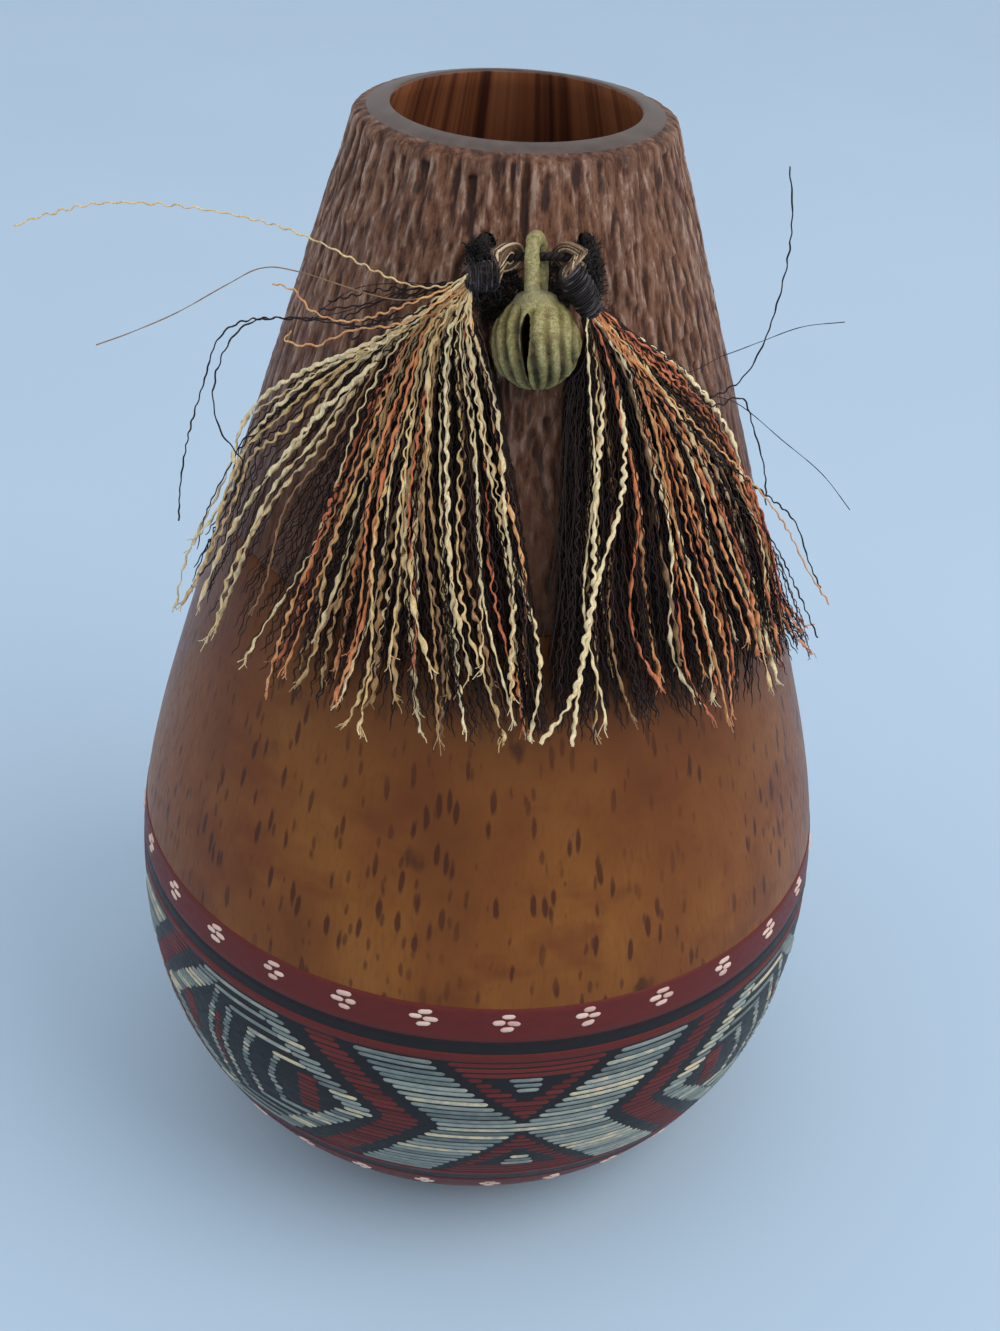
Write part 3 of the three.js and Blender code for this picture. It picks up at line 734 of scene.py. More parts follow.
def outside_rings():
    """Rings up the outside, each with its columns, radius, height and material."""
    rows = [(BELLY_COLUMNS, radius, 0.0, 0) for radius in (3.0, 24.0, 46.0, BASE_RADIUS - 0.5)]
    below = np.interp(BORDER_HEIGHT - BORDER_WIDTH / 2, OUTLINE[:, 1], ARC)
    for arc in np.linspace(0.35, below, 70):
        radius, height = (np.interp(arc, ARC, OUTLINE[:, k]) for k in range(2))
        rows.append((BELLY_COLUMNS, radius, height, 0))
    for share in (0.35, 0.5, 0.65):
        height = BORDER_HEIGHT + (share - 0.5) * BORDER_WIDTH
        sunk = BORDER_DEPTH if share == 0.5 else 0.5 * BORDER_DEPTH
        rows.append((BELLY_COLUMNS, outer_radius(height) - sunk, height, 0))
    above = BORDER_HEIGHT + BORDER_WIDTH / 2
    for columns, height in ((BELLY_COLUMNS, above), (2 * BELLY_COLUMNS, CARVED_EDGE)):
        rows.append((columns, outer_radius(height), height, 1))
    return rows


def rim_rings():
    """The rim slopes down to its rounded, carved outer edge."""
    foot = CARVED_TO + 0.4
    edge = VASE_HEIGHT - RIM_DROP
    inner = inner_radius(VASE_HEIGHT) + RIM_INNER_EDGE
    low = np.array([outer_radius(foot), foot])
    corner = np.array([outer_radius(edge), edge])
    top = np.array([inner, VASE_HEIGHT])
    high = corner + RIM_EDGE * unit(top - corner)
    rows = []
    for share in np.linspace(0, 1, 7):
        at = lerp(lerp(low, corner, share), lerp(corner, high, share), share)
        rows.append((CARVED_COLUMNS, *at, 1 if share < 0.9 else 2))
    rows.append((2 * BELLY_COLUMNS, *lerp(high, top, 0.15), 2))
    rows.append((BELLY_COLUMNS, *lerp(high, top, 0.5), 2))
    for turn in np.radians([90, 58, 26, 0]):
        rows.append((BELLY_COLUMNS, inner - RIM_INNER_EDGE * math.cos(turn),
                     VASE_HEIGHT - RIM_INNER_EDGE * (1 - math.sin(turn)), 2 if turn > 0.7 else 3))
    return rows


def inside_rings():
    rows = []
    low = FLOOR_THICKNESS + FLOOR_FILLET
    for height in np.linspace(VASE_HEIGHT - RIM_ROUND - 2, low, 44):
        rows.append((INSIDE_COLUMNS, inner_radius(height), height, 3))
    foot = inner_radius(low) - FLOOR_FILLET
    for turn in np.radians([30, 60, 90]):
        radius = foot + FLOOR_FILLET * math.cos(turn)
        rows.append((INSIDE_COLUMNS, radius, low - FLOOR_FILLET * math.sin(turn), 3))
    rows += [(INSIDE_COLUMNS, radius, FLOOR_THICKNESS, 3) for radius in (30.0, 12.0, 2.0)]
    return rows


def drill(angle):
    """A hole through the neck with a worn mouth."""
    height = CORD_HEIGHT - HOLE_DROP
    wall = outer_radius(height)
    rows = []
    turns = np.radians(np.arange(HOLE_SIDES) * 360 / HOLE_SIDES)
    for out, radius in HOLE_SECTIONS:
        ragged = radius * (1 + 0.06 * np.sin(3 * turns + angle) + 0.04 * np.sin(7 * turns))
        deep = np.full(HOLE_SIDES, -(wall + out))
        rows.append(np.stack([ragged * np.cos(turns), deep, ragged * np.sin(turns)], axis=-1))
    points, faces, _ = rings_to_faces(rows)
    turn = np.radians(angle)
    spin = np.array([[math.cos(turn), -math.sin(turn), 0], [math.sin(turn), math.cos(turn), 0], [0, 0, 1]])
    return mesh_object("drill", points @ spin.T + [0, 0, height], faces)


def turned_body():
    outside, rim, inside = outside_rings(), rim_rings(), inside_rings()
    heights = np.arange(CARVED_FROM, CARVED_TO + 0.01, CARVED_STEP)
    depths = gouges(heights)
    shades = ridge_shade(depths)
    rings = [ring(*row[:3]) for row in outside]
    owners = [row[3] for row in outside]
    values = [np.full(len(made), 0.4) for made in rings]
    for height, depth, shade in zip(heights, depths, shades):
        rings.append(ring(CARVED_COLUMNS, outer_radius(height) - depth, height))
        owners.append(1)
        values.append(shade)
    for columns, radius, height, owner in rim + inside:
        bite = smooth(VASE_HEIGHT - 0.6, CARVED_TO, height) if columns == CARVED_COLUMNS else 0.0
        rings.append(ring(columns, radius - bite * depths[-1] if bite else radius, height))
        owners.append(owner)
        # Over the rim's curve the carving fades to a darker value: painted shade along the tops of the
        # flutes, which face up to the light.
        values.append(lerp(0.62, shades[-1], bite) if bite else np.full(columns, 0.4))
    points, faces, owner = rings_to_faces(rings)
    # The depth attribute holds the carving's painted highlight and painted shade.
    body = mesh_object("turned_body", points, faces, {"depth": np.concatenate(values)})
    materials = [polished_wood(), carved_wood(), rim_wood(), inside_wood(), dark_bore()]
    for material in materials[:4]:
        body.data.materials.append(material)
    body.data.polygons.foreach_set("material_index", np.array(owners)[owner].astype(np.int32))
    for angle in (-HOLE_ANGLE, HOLE_ANGLE):
        cutter = drill(angle)
        cutter.data.materials.append(materials[4])
        cut(body, cutter)
    body.data.polygons.foreach_set("use_smooth", [True] * len(body.data.polygons))
    return settle(body, "vase", "coconut_wood", [], "vase_body")


# The painted belt: rows of short brush strokes round the belly

CROSSING_HEIGHT = 51.5
BELT_CENTRE = 1.75
BELT_WARP = 4.4
BELT_TILT = -1.8
BELT_TILT_AT = 32.0
ROW_PITCH = 1.5
ROWS = 14
BELT_RADIUS = 76
DOTS = 29
DOT_START = -2.0
DOT_ARC = 32.0
DOT_MARKS = ((0.2, 1.75, 2.9), (-1.45, 0.3, 2.5), (1.3, 0.1, 2.7), (0.0, -1.5, 2.8))
BAND_EDGES = ((21.2, 23.5), (27.0, 35.6), (-23.5, -21.2), (-35.6, -27.0))
NESTED = ((11, -5.3), (9, -2.3), (7, 1.8), (5, 6.5))


def on_belt(angle, arc, lift):
    """Points at angles round the vase and lengths up the wall from the crossing, lifted off the wood."""
    angle = np.asarray(angle, float)
    tilt = BELT_TILT * np.cos(np.radians(angle - BELT_TILT_AT))
    at = np.interp(CROSSING_HEIGHT, OUTLINE[:, 1], ARC) + arc + tilt
    radius = np.interp(at, ARC, OUTLINE[:, 0])
    height = np.interp(at, ARC, OUTLINE[:, 1])
    out = np.interp(at, ARC, np.gradient(OUTLINE[:, 1], ARC))
    up = -np.interp(at, ARC, np.gradient(OUTLINE[:, 0], ARC))
    return around(angle, radius + lift * out, height + lift * up)


def belt_angle(pattern):
    """The angle on the vase of a place in the pattern, which was painted a little unevenly."""
    return BELT_CENTRE + pattern + BELT_WARP * np.sin(np.radians(pattern))


def stroke(first, last, arc, width, lift, tint, slant=0.0):
    """One raised brush stroke from angle to angle, with rounded ends."""
    span = abs(last - first) * math.pi / 180 * BELT_RADIUS
    steps = max(3, int(span / 1.7) + 1)
    ends = min(0.12, 0.3 / max(span, 0.1))
    shares = np.concatenate([[0, ends, 2.4 * ends], np.linspace(2.4 * ends, 1 - 2.4 * ends, steps)[1:-1],
                             [1 - 2.4 * ends, 1 - ends, 1]])
    fullness = np.ones(len(shares))
    fullness[[0, -1]] = 0.3
    fullness[[1, -2]] = 0.78
    angle = lerp(first, last, shares)
    middle = arc + slant * (shares - 0.5)
    rows = []
    for across, up in ((-0.5, None), (-0.36, 0.66), (0.0, 1.0), (0.36, 0.66), (0.5, None)):
        rise = np.full(len(shares), -0.12) if up is None else up * lift * fullness
        rows.append(on_belt(angle, middle + across * width * fullness, rise))
    points = np.stack(rows, axis=1).reshape(-1, 3)
    k = np.arange(5)
    after = (k + 1) % 5
    start = (np.arange(len(shares) - 1) * 5)[:, None]
    quads = np.stack([start + k, start + after, start + 5 + after, start + 5 + k], axis=-1).reshape(-1, 4)
    end = (len(shares) - 1) * 5
    faces = quads[:, ::-1].tolist() + [[0, 1, 2, 3, 4], [end + 4, end + 3, end + 2, end + 1, end]]
    return points, faces, {"tint": tint}


def band(low, high, lift):
    """A painted ring right round the belly."""
    inner = np.linspace(low, high, max(3, int((high - low) / 1.6) + 2))
    arcs = np.concatenate([[low - 0.12], inner, [high + 0.12]])
    lifts = np.concatenate([[-0.12], np.full(len(inner), lift), [-0.12]])
    angles = np.arange(BELLY_COLUMNS) * 360 / BELLY_COLUMNS - 180
    loop = np.stack([on_belt(angles, arc, rise) for arc, rise in zip(arcs, lifts)], axis=1)
    count = len(arcs)
    k = np.arange(count)
    start = (np.arange(BELLY_COLUMNS) * count)[:, None]
    after = ((np.arange(BELLY_COLUMNS) + 1) % BELLY_COLUMNS * count)[:, None]
    quads = np.stack([start + k, after + k, after + (k + 1) % count, start + (k + 1) % count], axis=-1)
    return loop.reshape(-1, 3), quads.reshape(-1, 4).tolist(), {"tint": 0.4}


def diamond_strokes(row, half):
    """Light and red strokes of one row of a diamond, as distances from its middle towards the crossing."""
    edge = half - 4.5
    if row == ROWS - 1:
        return [(-half, half)], []
    light = [(edge, half), (-half, -edge)]
    for line, start in NESTED:
        start -= 0.3 * max(0, line - row)
        if row <= line:
            light.append((start, edge if row == line else start + 1.4))
    red = []
    if row < 4:
        red += [(10.6, 14.2), (-15.4, -11.8)]
    if row < 6:
        red.append((-6.9 + 0.25 * row, -5.5 + 0.25 * row))
    return light, red


def row_strokes(row):
    """Light and red strokes of one row over a quarter of the belt, from one crossing to the next."""
    arc = ROW_PITCH * (row + 0.5)
    light = [(max(0.0, 0.70 * arc - 0.6), 12.2 + 0.63 * arc)]
    red = [(14.9 + 0.63 * arc, 20.3 + 0.61 * arc)]
    notch = 7 * (arc - 8.5) / 8 if 8.5 < arc < 16.8 else 0.0
    if 0.64 * arc - 1.7 > notch + 0.4:
        red.append((notch, 0.64 * arc - 1.7))
    if row in (8, 9, 10):
        light.append((0.0, 1.6 + 0.45 * (row - 8)))
    light += [(90 - far, 90 - near) for near, far in light]
    red += [(90 - far, 90 - near) for near, far in red]
    inner_light, inner_red = diamond_strokes(row, 23.0 - 0.75 * arc)
    light += [(45 - far, 45 - near) for near, far in inner_light]
    red += [(45 - far, 45 - near) for near, far in inner_red]
    return light, red


def mirrored(spans):
    """Spans of a quarter of the belt laid out all round; those that meet at a mirror line are one."""
    whole = []
    for near, far in spans:
        if near <= 0:
            whole += [(-far, far), (180 - far, 180 + far)]
        elif far >= 90:
            whole += [(near, 180 - near), (180 + near, 360 - near)]
        else:
            whole += [(near, far), (-far, -near), (180 + near, 180 + far), (180 - far, 180 - near)]
    return whole


def belt_strokes():
    rng = np.random.default_rng(23)
    light, red = [], []
    for side in (-1, 1):
        for row in range(ROWS):
            arc = side * ROW_PITCH * (row + 0.5)
            light_spans, red_spans = row_strokes(row)
            for spans, made, width, lift in ((light_spans, light, 1.2, 0.36), (red_spans, red, 1.5, 0.14)):
                for first, last in mirrored(spans):
                    ends = belt_angle(np.array([first, last]) + rng.normal(0, 0.16, 2))
                    made.append(stroke(
                        *ends, arc + rng.normal(0, 0.05), width * rng.uniform(0.9, 1.1),
                        lift * rng.uniform(0.85, 1.15), rng.uniform(0, 1), rng.normal(0, 0.07),
                    ))
    return join(light), join(red)


def belt_dots():
    rng = np.random.default_rng(5)
    dots = []
    degrees = 180 / math.pi / BELT_RADIUS
    for side in (-1, 1):
        for k in range(DOTS):
            middle = DOT_START + k * 360 / DOTS
            for across, up, length in DOT_MARKS:
                arc = side * DOT_ARC + up + rng.normal(0, 0.12)
                centre = middle + (across + rng.normal(0, 0.12)) * degrees
                reach = length * rng.uniform(0.85, 1.15) / 2 * degrees
                dots.append(stroke(centre - reach, centre + reach, arc, rng.uniform(1.25, 1.6), 0.42,
                                   rng.uniform(0.2, 1), rng.normal(0, 0.25)))
    return join(dots)


def painted_belt():
    black = paint("black_paint", [(0.3, srgb(15, 13, 15)), (0.75, srgb(34, 30, 32))], 0.4)
    red = paint("red_paint", [(0.3, srgb(84, 25, 22)), (0.8, srgb(106, 36, 31))], 0.42)
    pale = paint("pale_paint", [
        (0.3, srgb(92, 103, 104)), (0.58, srgb(126, 137, 135)),
        (0.74, srgb(148, 155, 148)), (0.88, srgb(204, 190, 160)),
    ], 0.42)
    pink = paint("pink_paint", [(0.25, srgb(188, 144, 132)), (0.75, srgb(224, 196, 182))], 0.42)
    light, red_strokes = belt_strokes()
    bands = [band(low, high, 0.12) for low, high in BAND_EDGES]
    ground = mesh_object("belt_ground", *band(-27.0, 27.0, 0.05))
    settle(ground, "vase", "coconut_wood", [black])
    rings = mesh_object("belt_red", *join([red_strokes, *bands]))
    settle(rings, "vase", "coconut_wood", [red])
    settle(mesh_object("belt_strokes", *light), "vase", "coconut_wood", [pale])
    settle(mesh_object("belt_dots", *belt_dots()), "vase", "coconut_wood", [pink])


# The cord through the neck and the fibre round it

RUN_Y = -(float(outer_radius(CORD_HEIGHT)) + CORD_STANDOFF)
CORD_POINTS = 260
PLY_PITCH = 2.6
PLUG_FIBRES = 120
CORD_FIBRES = 180
# Patches of black fibre on the wall: partly real fibre, partly painted shade where the wall lies in shadow
# round the holes, beside the right whipping and behind the bell.
FELT_AND_SHADE_PATCHES = (
    (300, -HOLE_ANGLE - 0.3, CORD_HEIGHT - 2.6, 3.1, 2.0, 0.9),
    (460, HOLE_ANGLE + 0.2, CORD_HEIGHT - 6.6, 2.4, 5.2, 1.2),
    (520, -9.5, CORD_HEIGHT - 9.5, 5.4, 5.0, 1.4),
    (400, 6.5, CORD_HEIGHT - 7.5, 4.4, 5.0, 1.4),
)


def level_frame(paths):
    """The frame of paths that stay about level."""
    heading = unit(np.gradient(paths, axis=1))
    side = unit(np.cross(heading, [0.0, 0.0, 1.0]))
    return heading, side, np.cross(side, heading)


def cord_half(side, knot_y):
    run_end = HANGER_SHIFT + side * (FOLD_SPACING + FOLD_THICKNESS) / 2
    inside, outside = inner_radius(CORD_HEIGHT), outer_radius(CORD_HEIGHT)
    hole_in = around(side * HOLE_ANGLE, inside, CORD_HEIGHT)
    hole_out = around(side * HOLE_ANGLE, outside + 2 * CORD_RADIUS, CORD_HEIGHT)
    return [
        [side * 0.7 * KNOT_RADIUS, knot_y, CORD_HEIGHT],
        [0.8 * hole_in[0], lerp(knot_y, hole_in[1], 0.25), CORD_HEIGHT],
        hole_in,
        around(side * HOLE_ANGLE, (inside + outside) / 2, CORD_HEIGHT),
        hole_out,
        [lerp(run_end, hole_out[0], 0.9), lerp(hole_out[1], RUN_Y, 0.65), CORD_HEIGHT],
        [run_end, RUN_Y, CORD_HEIGHT],
        [HANGER_SHIFT + side * FOLD_SPACING / 4, RUN_Y, CORD_HEIGHT],
    ]


def plies(path, radius, pitch, tint):
    """Two plies twisted round each other along a path."""
    paths = path[None]
    _, side, face = level_frame(paths)
    length = run_lengths(paths)
    parts = []
    for turn in (0.0, math.pi):
        angle = 2 * math.pi * length / pitch + turn
        ply = paths + 0.48 * radius * (np.cos(angle)[..., None] * side + np.sin(angle)[..., None] * face)
        parts.append((*sweep(ply, 0.56 * radius, 0.56 * radius, 7, 0.0, level_frame), {"tint": tint}))
    return parts


def twisted_cord(material):
    reach = KNOT_RADIUS + 2 * CORD_RADIUS
    knot_y = -(float(inner_radius(CORD_HEIGHT + reach)) - reach - 0.3)
    path = spread([*cord_half(-1, knot_y), *cord_half(1, knot_y)[::-1]], CORD_POINTS)
    parts = plies(path, CORD_RADIUS, PLY_PITCH, 0.5)
    t = np.linspace(0, 2 * math.pi, 120)
    knot = np.stack([np.sin(t) + 2 * np.sin(2 * t), -np.sin(3 * t) * 1.1,
                     np.cos(t) - 2 * np.cos(2 * t)], axis=-1)
    knot = knot * 0.62 + [0, knot_y, CORD_HEIGHT]
    parts.append((*sweep(knot[None], 0.8, 0.8, 8), {"tint": 0.4}))
    for side in (-1, 1):
        tail = spread([
            [side * 1.0, knot_y, CORD_HEIGHT - 1.0],
            [side * 2.0, knot_y + 1.6, CORD_HEIGHT - 3.6],
            [side * 2.4, knot_y + 1.0, CORD_HEIGHT - 7.5],
        ], 24)
        parts.append((*sweep(tail[None], 0.62, 0.62, 7), {"tint": 0.6}))
    cord = mesh_object("twisted_cord", *join(parts))
    return settle(cord, "vase", "dark_cord", [material], "hanger_cord")


def hairs(rng, roots, ways, least, most, curl, steps=10):
    """Short curling fibres that leave their roots in given ways."""
    count = len(roots)
    t = np.linspace(0, 1, steps)[None, :, None]
    length = rng.uniform(least, most, (count, 1, 1))
    bend = unit(rng.normal(size=(count, 1, 3)))
    swing = unit(rng.normal(size=(count, 1, 3)))
    wave = np.sin(5 * t + rng.uniform(0, 6, (count, 1, 1)))
    return (roots[:, None] + ways[:, None] * length * t
            + curl * length * (bend * t ** 2 + 0.4 * swing * wave * t))


def felt(rng, count, angle, height, wide, tall, high):
    """Short matted fibres that lie over a patch of the wall; where the wall is in shadow they also serve as
    painted shade.
    """
    turn = rng.uniform(0, 2 * math.pi, count)
    out = np.sqrt(rng.uniform(0, 1, count))
    across = np.degrees(wide * out * np.cos(turn) / outer_radius(height))
    off = rng.uniform(0.2, high, count) * (1.2 - out)
    roots = from_wall(np.stack([angle + across, height + tall * out * np.sin(turn), off], axis=-1))
    outward = unit(roots * [1, 1, 0])
    ways = rng.normal(0, 1, (count, 3))
    ways = unit(ways - 0.9 * (ways * outward).sum(axis=1, keepdims=True) * outward)
    return clear_of_bell(off_the_wood(hairs(rng, roots, ways, 0.7, 1.7, 0.5), 0.15))


def plug(rng, count, angle):
    """Fibres wadded into a hole of the neck."""
    turn = rng.uniform(0, 2 * math.pi, count)
    out = 1.7 * np.sqrt(rng.uniform(0, 1, count))
    across = np.degrees(out * np.cos(turn) / outer_radius(CORD_HEIGHT))
    sunk = -rng.uniform(0.9, 3.2, count)
    height = CORD_HEIGHT - HOLE_DROP + out * np.sin(turn)
    roots = from_wall(np.stack([angle + across, height, sunk], axis=-1))
    return hairs(rng, roots, unit(rng.normal(size=(count, 3))), 0.7, 1.4, 0.5)


def cord_fuzz(rng, count, side):
    """Loose fibres along the cord between its hole and the fold."""
    path = spread(cord_half(side, 0.0)[4:7], 60)
    ways = unit(rng.normal(size=(count, 3)))
    roots = path[rng.integers(0, 60, count)] + 0.7 * CORD_RADIUS * ways
    return clear_of_bell(off_the_wood(hairs(rng, roots, ways, 0.6, 1.6, 0.7), 0.2))


def hole_tufts(material):
    """Black fibre matted round both holes, along the cord and behind the bell; the matted patches are partly
    painted shade, dark fibre where the wall lies in shadow.
    """
    rng = np.random.default_rng(31)
    parts = []
    for count, angle, height, wide, tall, high in FELT_AND_SHADE_PATCHES:
        paths = felt(rng, count, angle, height, wide, tall, high)
        parts.append(fibres(paths, 0.14, 0.12, 3, rng.uniform(0, 0.4, count)))
    for side in (-1, 1):
        paths = plug(rng, PLUG_FIBRES, side * HOLE_ANGLE)
        parts.append(fibres(paths, 0.24, 0.2, 3, rng.uniform(0, 0.2, PLUG_FIBRES)))
        paths = cord_fuzz(rng, CORD_FIBRES, side)
        parts.append(fibres(paths, 0.09, 0.08, 3, rng.uniform(0, 0.5, CORD_FIBRES)))
    return settle(mesh_object("hole_tufts", *join(parts)), "vase", "dark_cord", [material])


# The cast bell and its pellet

RIBS = 9
BELL_VOXEL = 0.17
EYE_GAP = 0.7
LOOP_RADIUS = 1.6
NUB_RADIUS = 0.85
PELLET_RADIUS = 2.4
BELL_CLEARANCE = 0.9
LOOP_POINTS = 90
CROWN_SIDES = 48
CROWN = ((5.2, 5.4), (5.6, 6.8), (5.4, 7.9), (4.8, 8.7), (3.3, 9.3), (0.6, 9.45))
SLIT_EDGE = [
    (0.13, -10.0), (0.15, -7.0), (0.18, -4.6), (0.34, -3.0), (0.66, -1.4), (0.86, 0.8), (0.82, 3.0),
    (0.52, 4.8), (0.16, 5.5),
]


def ball(rows, columns, radius_at):
    """A closed ball about the X axis, its radius given for angles from the pole and round the axis."""
    turns = np.arange(columns) * 2 * math.pi / columns
    rings = []
    for angle in np.linspace(math.pi - 0.02, 0.02, rows):
        radius = radius_at(np.full(columns, angle), turns)
        rings.append(np.stack([-radius * math.cos(angle), radius * math.sin(angle) * np.sin(turns),
                               radius * math.sin(angle) * np.cos(turns)], axis=-1))
    points, faces, _ = rings_to_faces(rings)
    return points, faces


def ribbed(polar, turns):
    """The bell's ball: ribs that run round it and draw together at the foot, worn away high on the right."""
    height = np.sin(polar) * np.cos(turns)
    longitude = np.arctan2(np.abs(np.sin(polar) * np.sin(turns)), np.cos(polar))
    rise = np.abs(np.sin(RIBS * lerp(polar, longitude, 0.35) + 0.5 * np.sin(2 * height))) ** 0.5
    upper = lerp(0.85, 0.4, smooth(1.25, 1.9, polar))
    deep = lerp(upper, 1.0, smooth(0.42, -0.35, height)) * smooth(0.97, 0.8, height)
    return (BELL_RADIUS - 1.4 * (1 - rise) * deep) * (1 + 0.04 * smooth(0.55, 1.0, height))


def plain_ball(rows, columns, radius):
    return ball(rows, columns, lambda polar, turns: np.full(len(turns), radius))


def bell_crown():
    """The cap between the ball and the loop."""
    turns = np.radians(np.arange(CROWN_SIDES) * 360 / CROWN_SIDES)
    rings = []
    for radius, height in CROWN:
        level = np.full(CROWN_SIDES, height - BELL_DROP)
        rings.append(np.stack([0.72 * radius * np.cos(turns), radius * np.sin(turns), level], axis=-1))
    points, faces, _ = rings_to_faces(rings)
    return points, faces, {}


def upright_frame(paths):
    """The frame of paths that stay in the plane of the bell's loop."""
    heading = unit(np.gradient(paths, axis=1))
    side = np.broadcast_to([1.0, 0.0, 0.0], paths.shape)
    return heading, side, np.cross(side, heading)


def bell_loop():
    """The tall loop that hangs on the cord."""
    bend = CORD_RADIUS + EYE_GAP + LOOP_RADIUS
    foot = -BELL_DROP + 6.5
    arc = np.radians(np.linspace(0, 180, 9))
    route = [[0, -bend, foot], [0, -bend, foot / 2]]
    route += [[0, -bend * math.cos(angle), bend * math.sin(angle)] for angle in arc]
    route += [[0, bend, foot / 2], [0, bend, foot]]
    path = spread(route, LOOP_POINTS)
    lowness = np.abs(np.linspace(-1, 1, LOOP_POINTS))
    thick = 1.36 + 0.3 * smooth(0.8, 1.0, lowness) + 0.12 * smooth(0.35, 0.0, lowness)
    return (*sweep(path[None], thick[None], thick[None], 24, 0.0, upright_frame), {})


def bell_parts():
    points, faces = ball(190, 170, ribbed)
    shell = (points - [0, 0, BELL_DROP], faces, {})
    points, faces = plain_ball(14, 16, NUB_RADIUS)
    nub = (points + [-BELL_RADIUS + 0.5, 0, -BELL_DROP], faces, {})
    return join([shell, bell_crown(), bell_loop(), nub])


def slit_cutter():
    """The mouth of the bell: open above the middle, then a narrow slot to the foot."""
    edge = np.array(SLIT_EDGE + [(-x, z) for x, z in SLIT_EDGE[::-1]])
    rings = []
    for y in (13.0, -13.0):
        rings.append(np.stack([edge[:, 0], np.full(len(edge), y), edge[:, 1] - BELL_DROP], axis=-1))
    points, faces, _ = rings_to_faces(rings)
    return mesh_object("slit", points, faces, scale=1.0)


def remesh(piece, voxel):
    piece.modifiers.new("remesh", "REMESH").mode = "VOXEL"
    piece.modifiers["remesh"].voxel_size = voxel
    apply_modifiers(piece)


def soften(piece, rounds):
    made = piece.modifiers.new("soften", "SMOOTH")
    made.factor = 0.5
    made.iterations = rounds
    apply_modifiers(piece)


def vertex_rows(mesh, key):
    rows = np.empty(len(mesh.vertices) * 3, np.float32)
    mesh.vertices.foreach_get(key, rows)
    return rows.reshape(-1, 3).astype(float)


def roughen(mesh, amounts):
    """Moves each vertex along its normal by lumps of some sizes and heights."""
    places = vertex_rows(mesh, "co")
    normals = vertex_rows(mesh, "normal")
    lift = np.zeros(len(places))
    for size, height in amounts:
        lift += height * np.array([noise.noise(Vector(p)) for p in places / size])
    return places + lift[:, None] * normals


def hang_bell(points):
    """Turns points from the bell's own frame, with its eye at the origin, to where it hangs."""
    lean = Matrix.Rotation(math.radians(-BELL_LEAN), 3, "X")
    turn = lean @ Matrix.Rotation(math.radians(BELL_YAW), 3, "Z")
    return points @ np.array(turn).T + [HANGER_SHIFT, RUN_Y, CORD_HEIGHT]


def cast_bell():
    points, faces, _ = bell_parts()
    bell = mesh_object("cast_bell", points, faces, scale=1.0)
    remesh(bell, BELL_VOXEL)
    hollow_points, hollow_faces = plain_ball(40, 48, CAVITY_RADIUS)
    cut(bell, mesh_object("hollow", hollow_points - [0, 0, BELL_DROP], hollow_faces, scale=1.0))
    cut(bell, slit_cutter())
    remesh(bell, BELL_VOXEL)
    soften(bell, 2)
    mesh = bell.data
    mesh.materials.clear()
    places = roughen(mesh, ((0.55, 0.06), (1.4, 0.13), (4.0, 0.2)))
    from_middle = places + [0, 0, BELL_DROP]
    radius = np.linalg.norm(from_middle, axis=1)
    on_ball = smooth(9.2, 8.6, radius)
    depth = np.clip((BELL_RADIUS - radius) / 0.9, 0, 1.4) * on_ball
    near_foot = smooth(2.0, 0.5, np.abs(places[:, 2] + BELL_DROP - 8.9))
    for key, numbers in (("depth", depth), ("band", near_foot)):
        mesh.attributes.new(key, "FLOAT", "POINT").data.foreach_set("value", numbers.astype(np.float32))
    mesh.vertices.foreach_set("co", (hang_bell(places) * MM).astype(np.float32).ravel())
    mesh.polygons.foreach_set("use_smooth", [True] * len(mesh.polygons))
    mesh.polygons.foreach_set("material_index", [0] * len(mesh.polygons))
    mesh.update()
    return settle(bell, "bell", "aged_brass", [brass()], "bell")


def rolled_pellet():
    points, faces = ball(30, 36, lambda polar, turns: 2.38 - 0.14 * np.sin(3 * turns + 2 * polar) ** 2
                         - 0.1 * np.cos(5 * polar) ** 2)
    drop = CAVITY_RADIUS - PELLET_RADIUS - 0.3
    middle = hang_bell(np.array([[0, 0, -BELL_DROP]]))[0] - [0, 0, drop]
    pellet = mesh_object("rolled_pellet", points + middle, faces)
    return settle(pellet, "pellet", "iron", [dull_iron()], "bell_pellet")


# The tassels

LEFT = {
    "name": "left", "side": -1, "drop": 10.0, "splay": 2.0, "mouth": 7.0, "whipping": (1.5, 7.3),
    "fold_wide": 4.1, "fold_shift": 0.0, "inward": 1.3, "outer": 0.3,
}
RIGHT = {
    "name": "right", "side": 1, "drop": 56.0, "splay": 10.0, "mouth": 7.9, "whipping": (-0.9, 8.3),
    "fold_wide": 3.7, "fold_shift": 0.6, "inward": 1.0, "outer": 0.9,
}
ROOT_OFF = 12.5
FRONT_OFF = 6.8
GUIDE_POINTS = 40
DARK_STEPS = 150
LIGHT_STEPS = 200
STRAY_STEPS = 220
STRAY_OFF = 9.0
DARK_COUNT = 205
LEFT_GUIDES = [
    [(486, 288), (486, 322), (489, 366), (500, 432), (513, 515), (527, 614), (541, 750)],
    [(471, 283), (471, 318), (485, 372), (501, 448), (511, 513), (524, 612), (538, 750)],
    [(467, 279), (449, 317), (438, 359), (434, 415), (431, 513), (440, 612), (466, 755)],
    [(463, 277), (436, 310), (419, 359), (406, 415), (391, 487), (375, 579), (360, 661), (345, 732)],
    [(460, 276), (422, 317), (393, 359), (370, 408), (350, 464), (324, 530), (295, 595), (253, 694)],
    [(457, 277), (409, 323), (373, 353), (334, 395), (304, 438), (268, 477), (239, 530), (213, 579),
     (188, 632)],
    [(454, 279), (383, 340), (331, 358), (291, 379), (255, 403), (239, 421), (232, 448), (216, 500),
     (193, 556), (173, 624)],
]
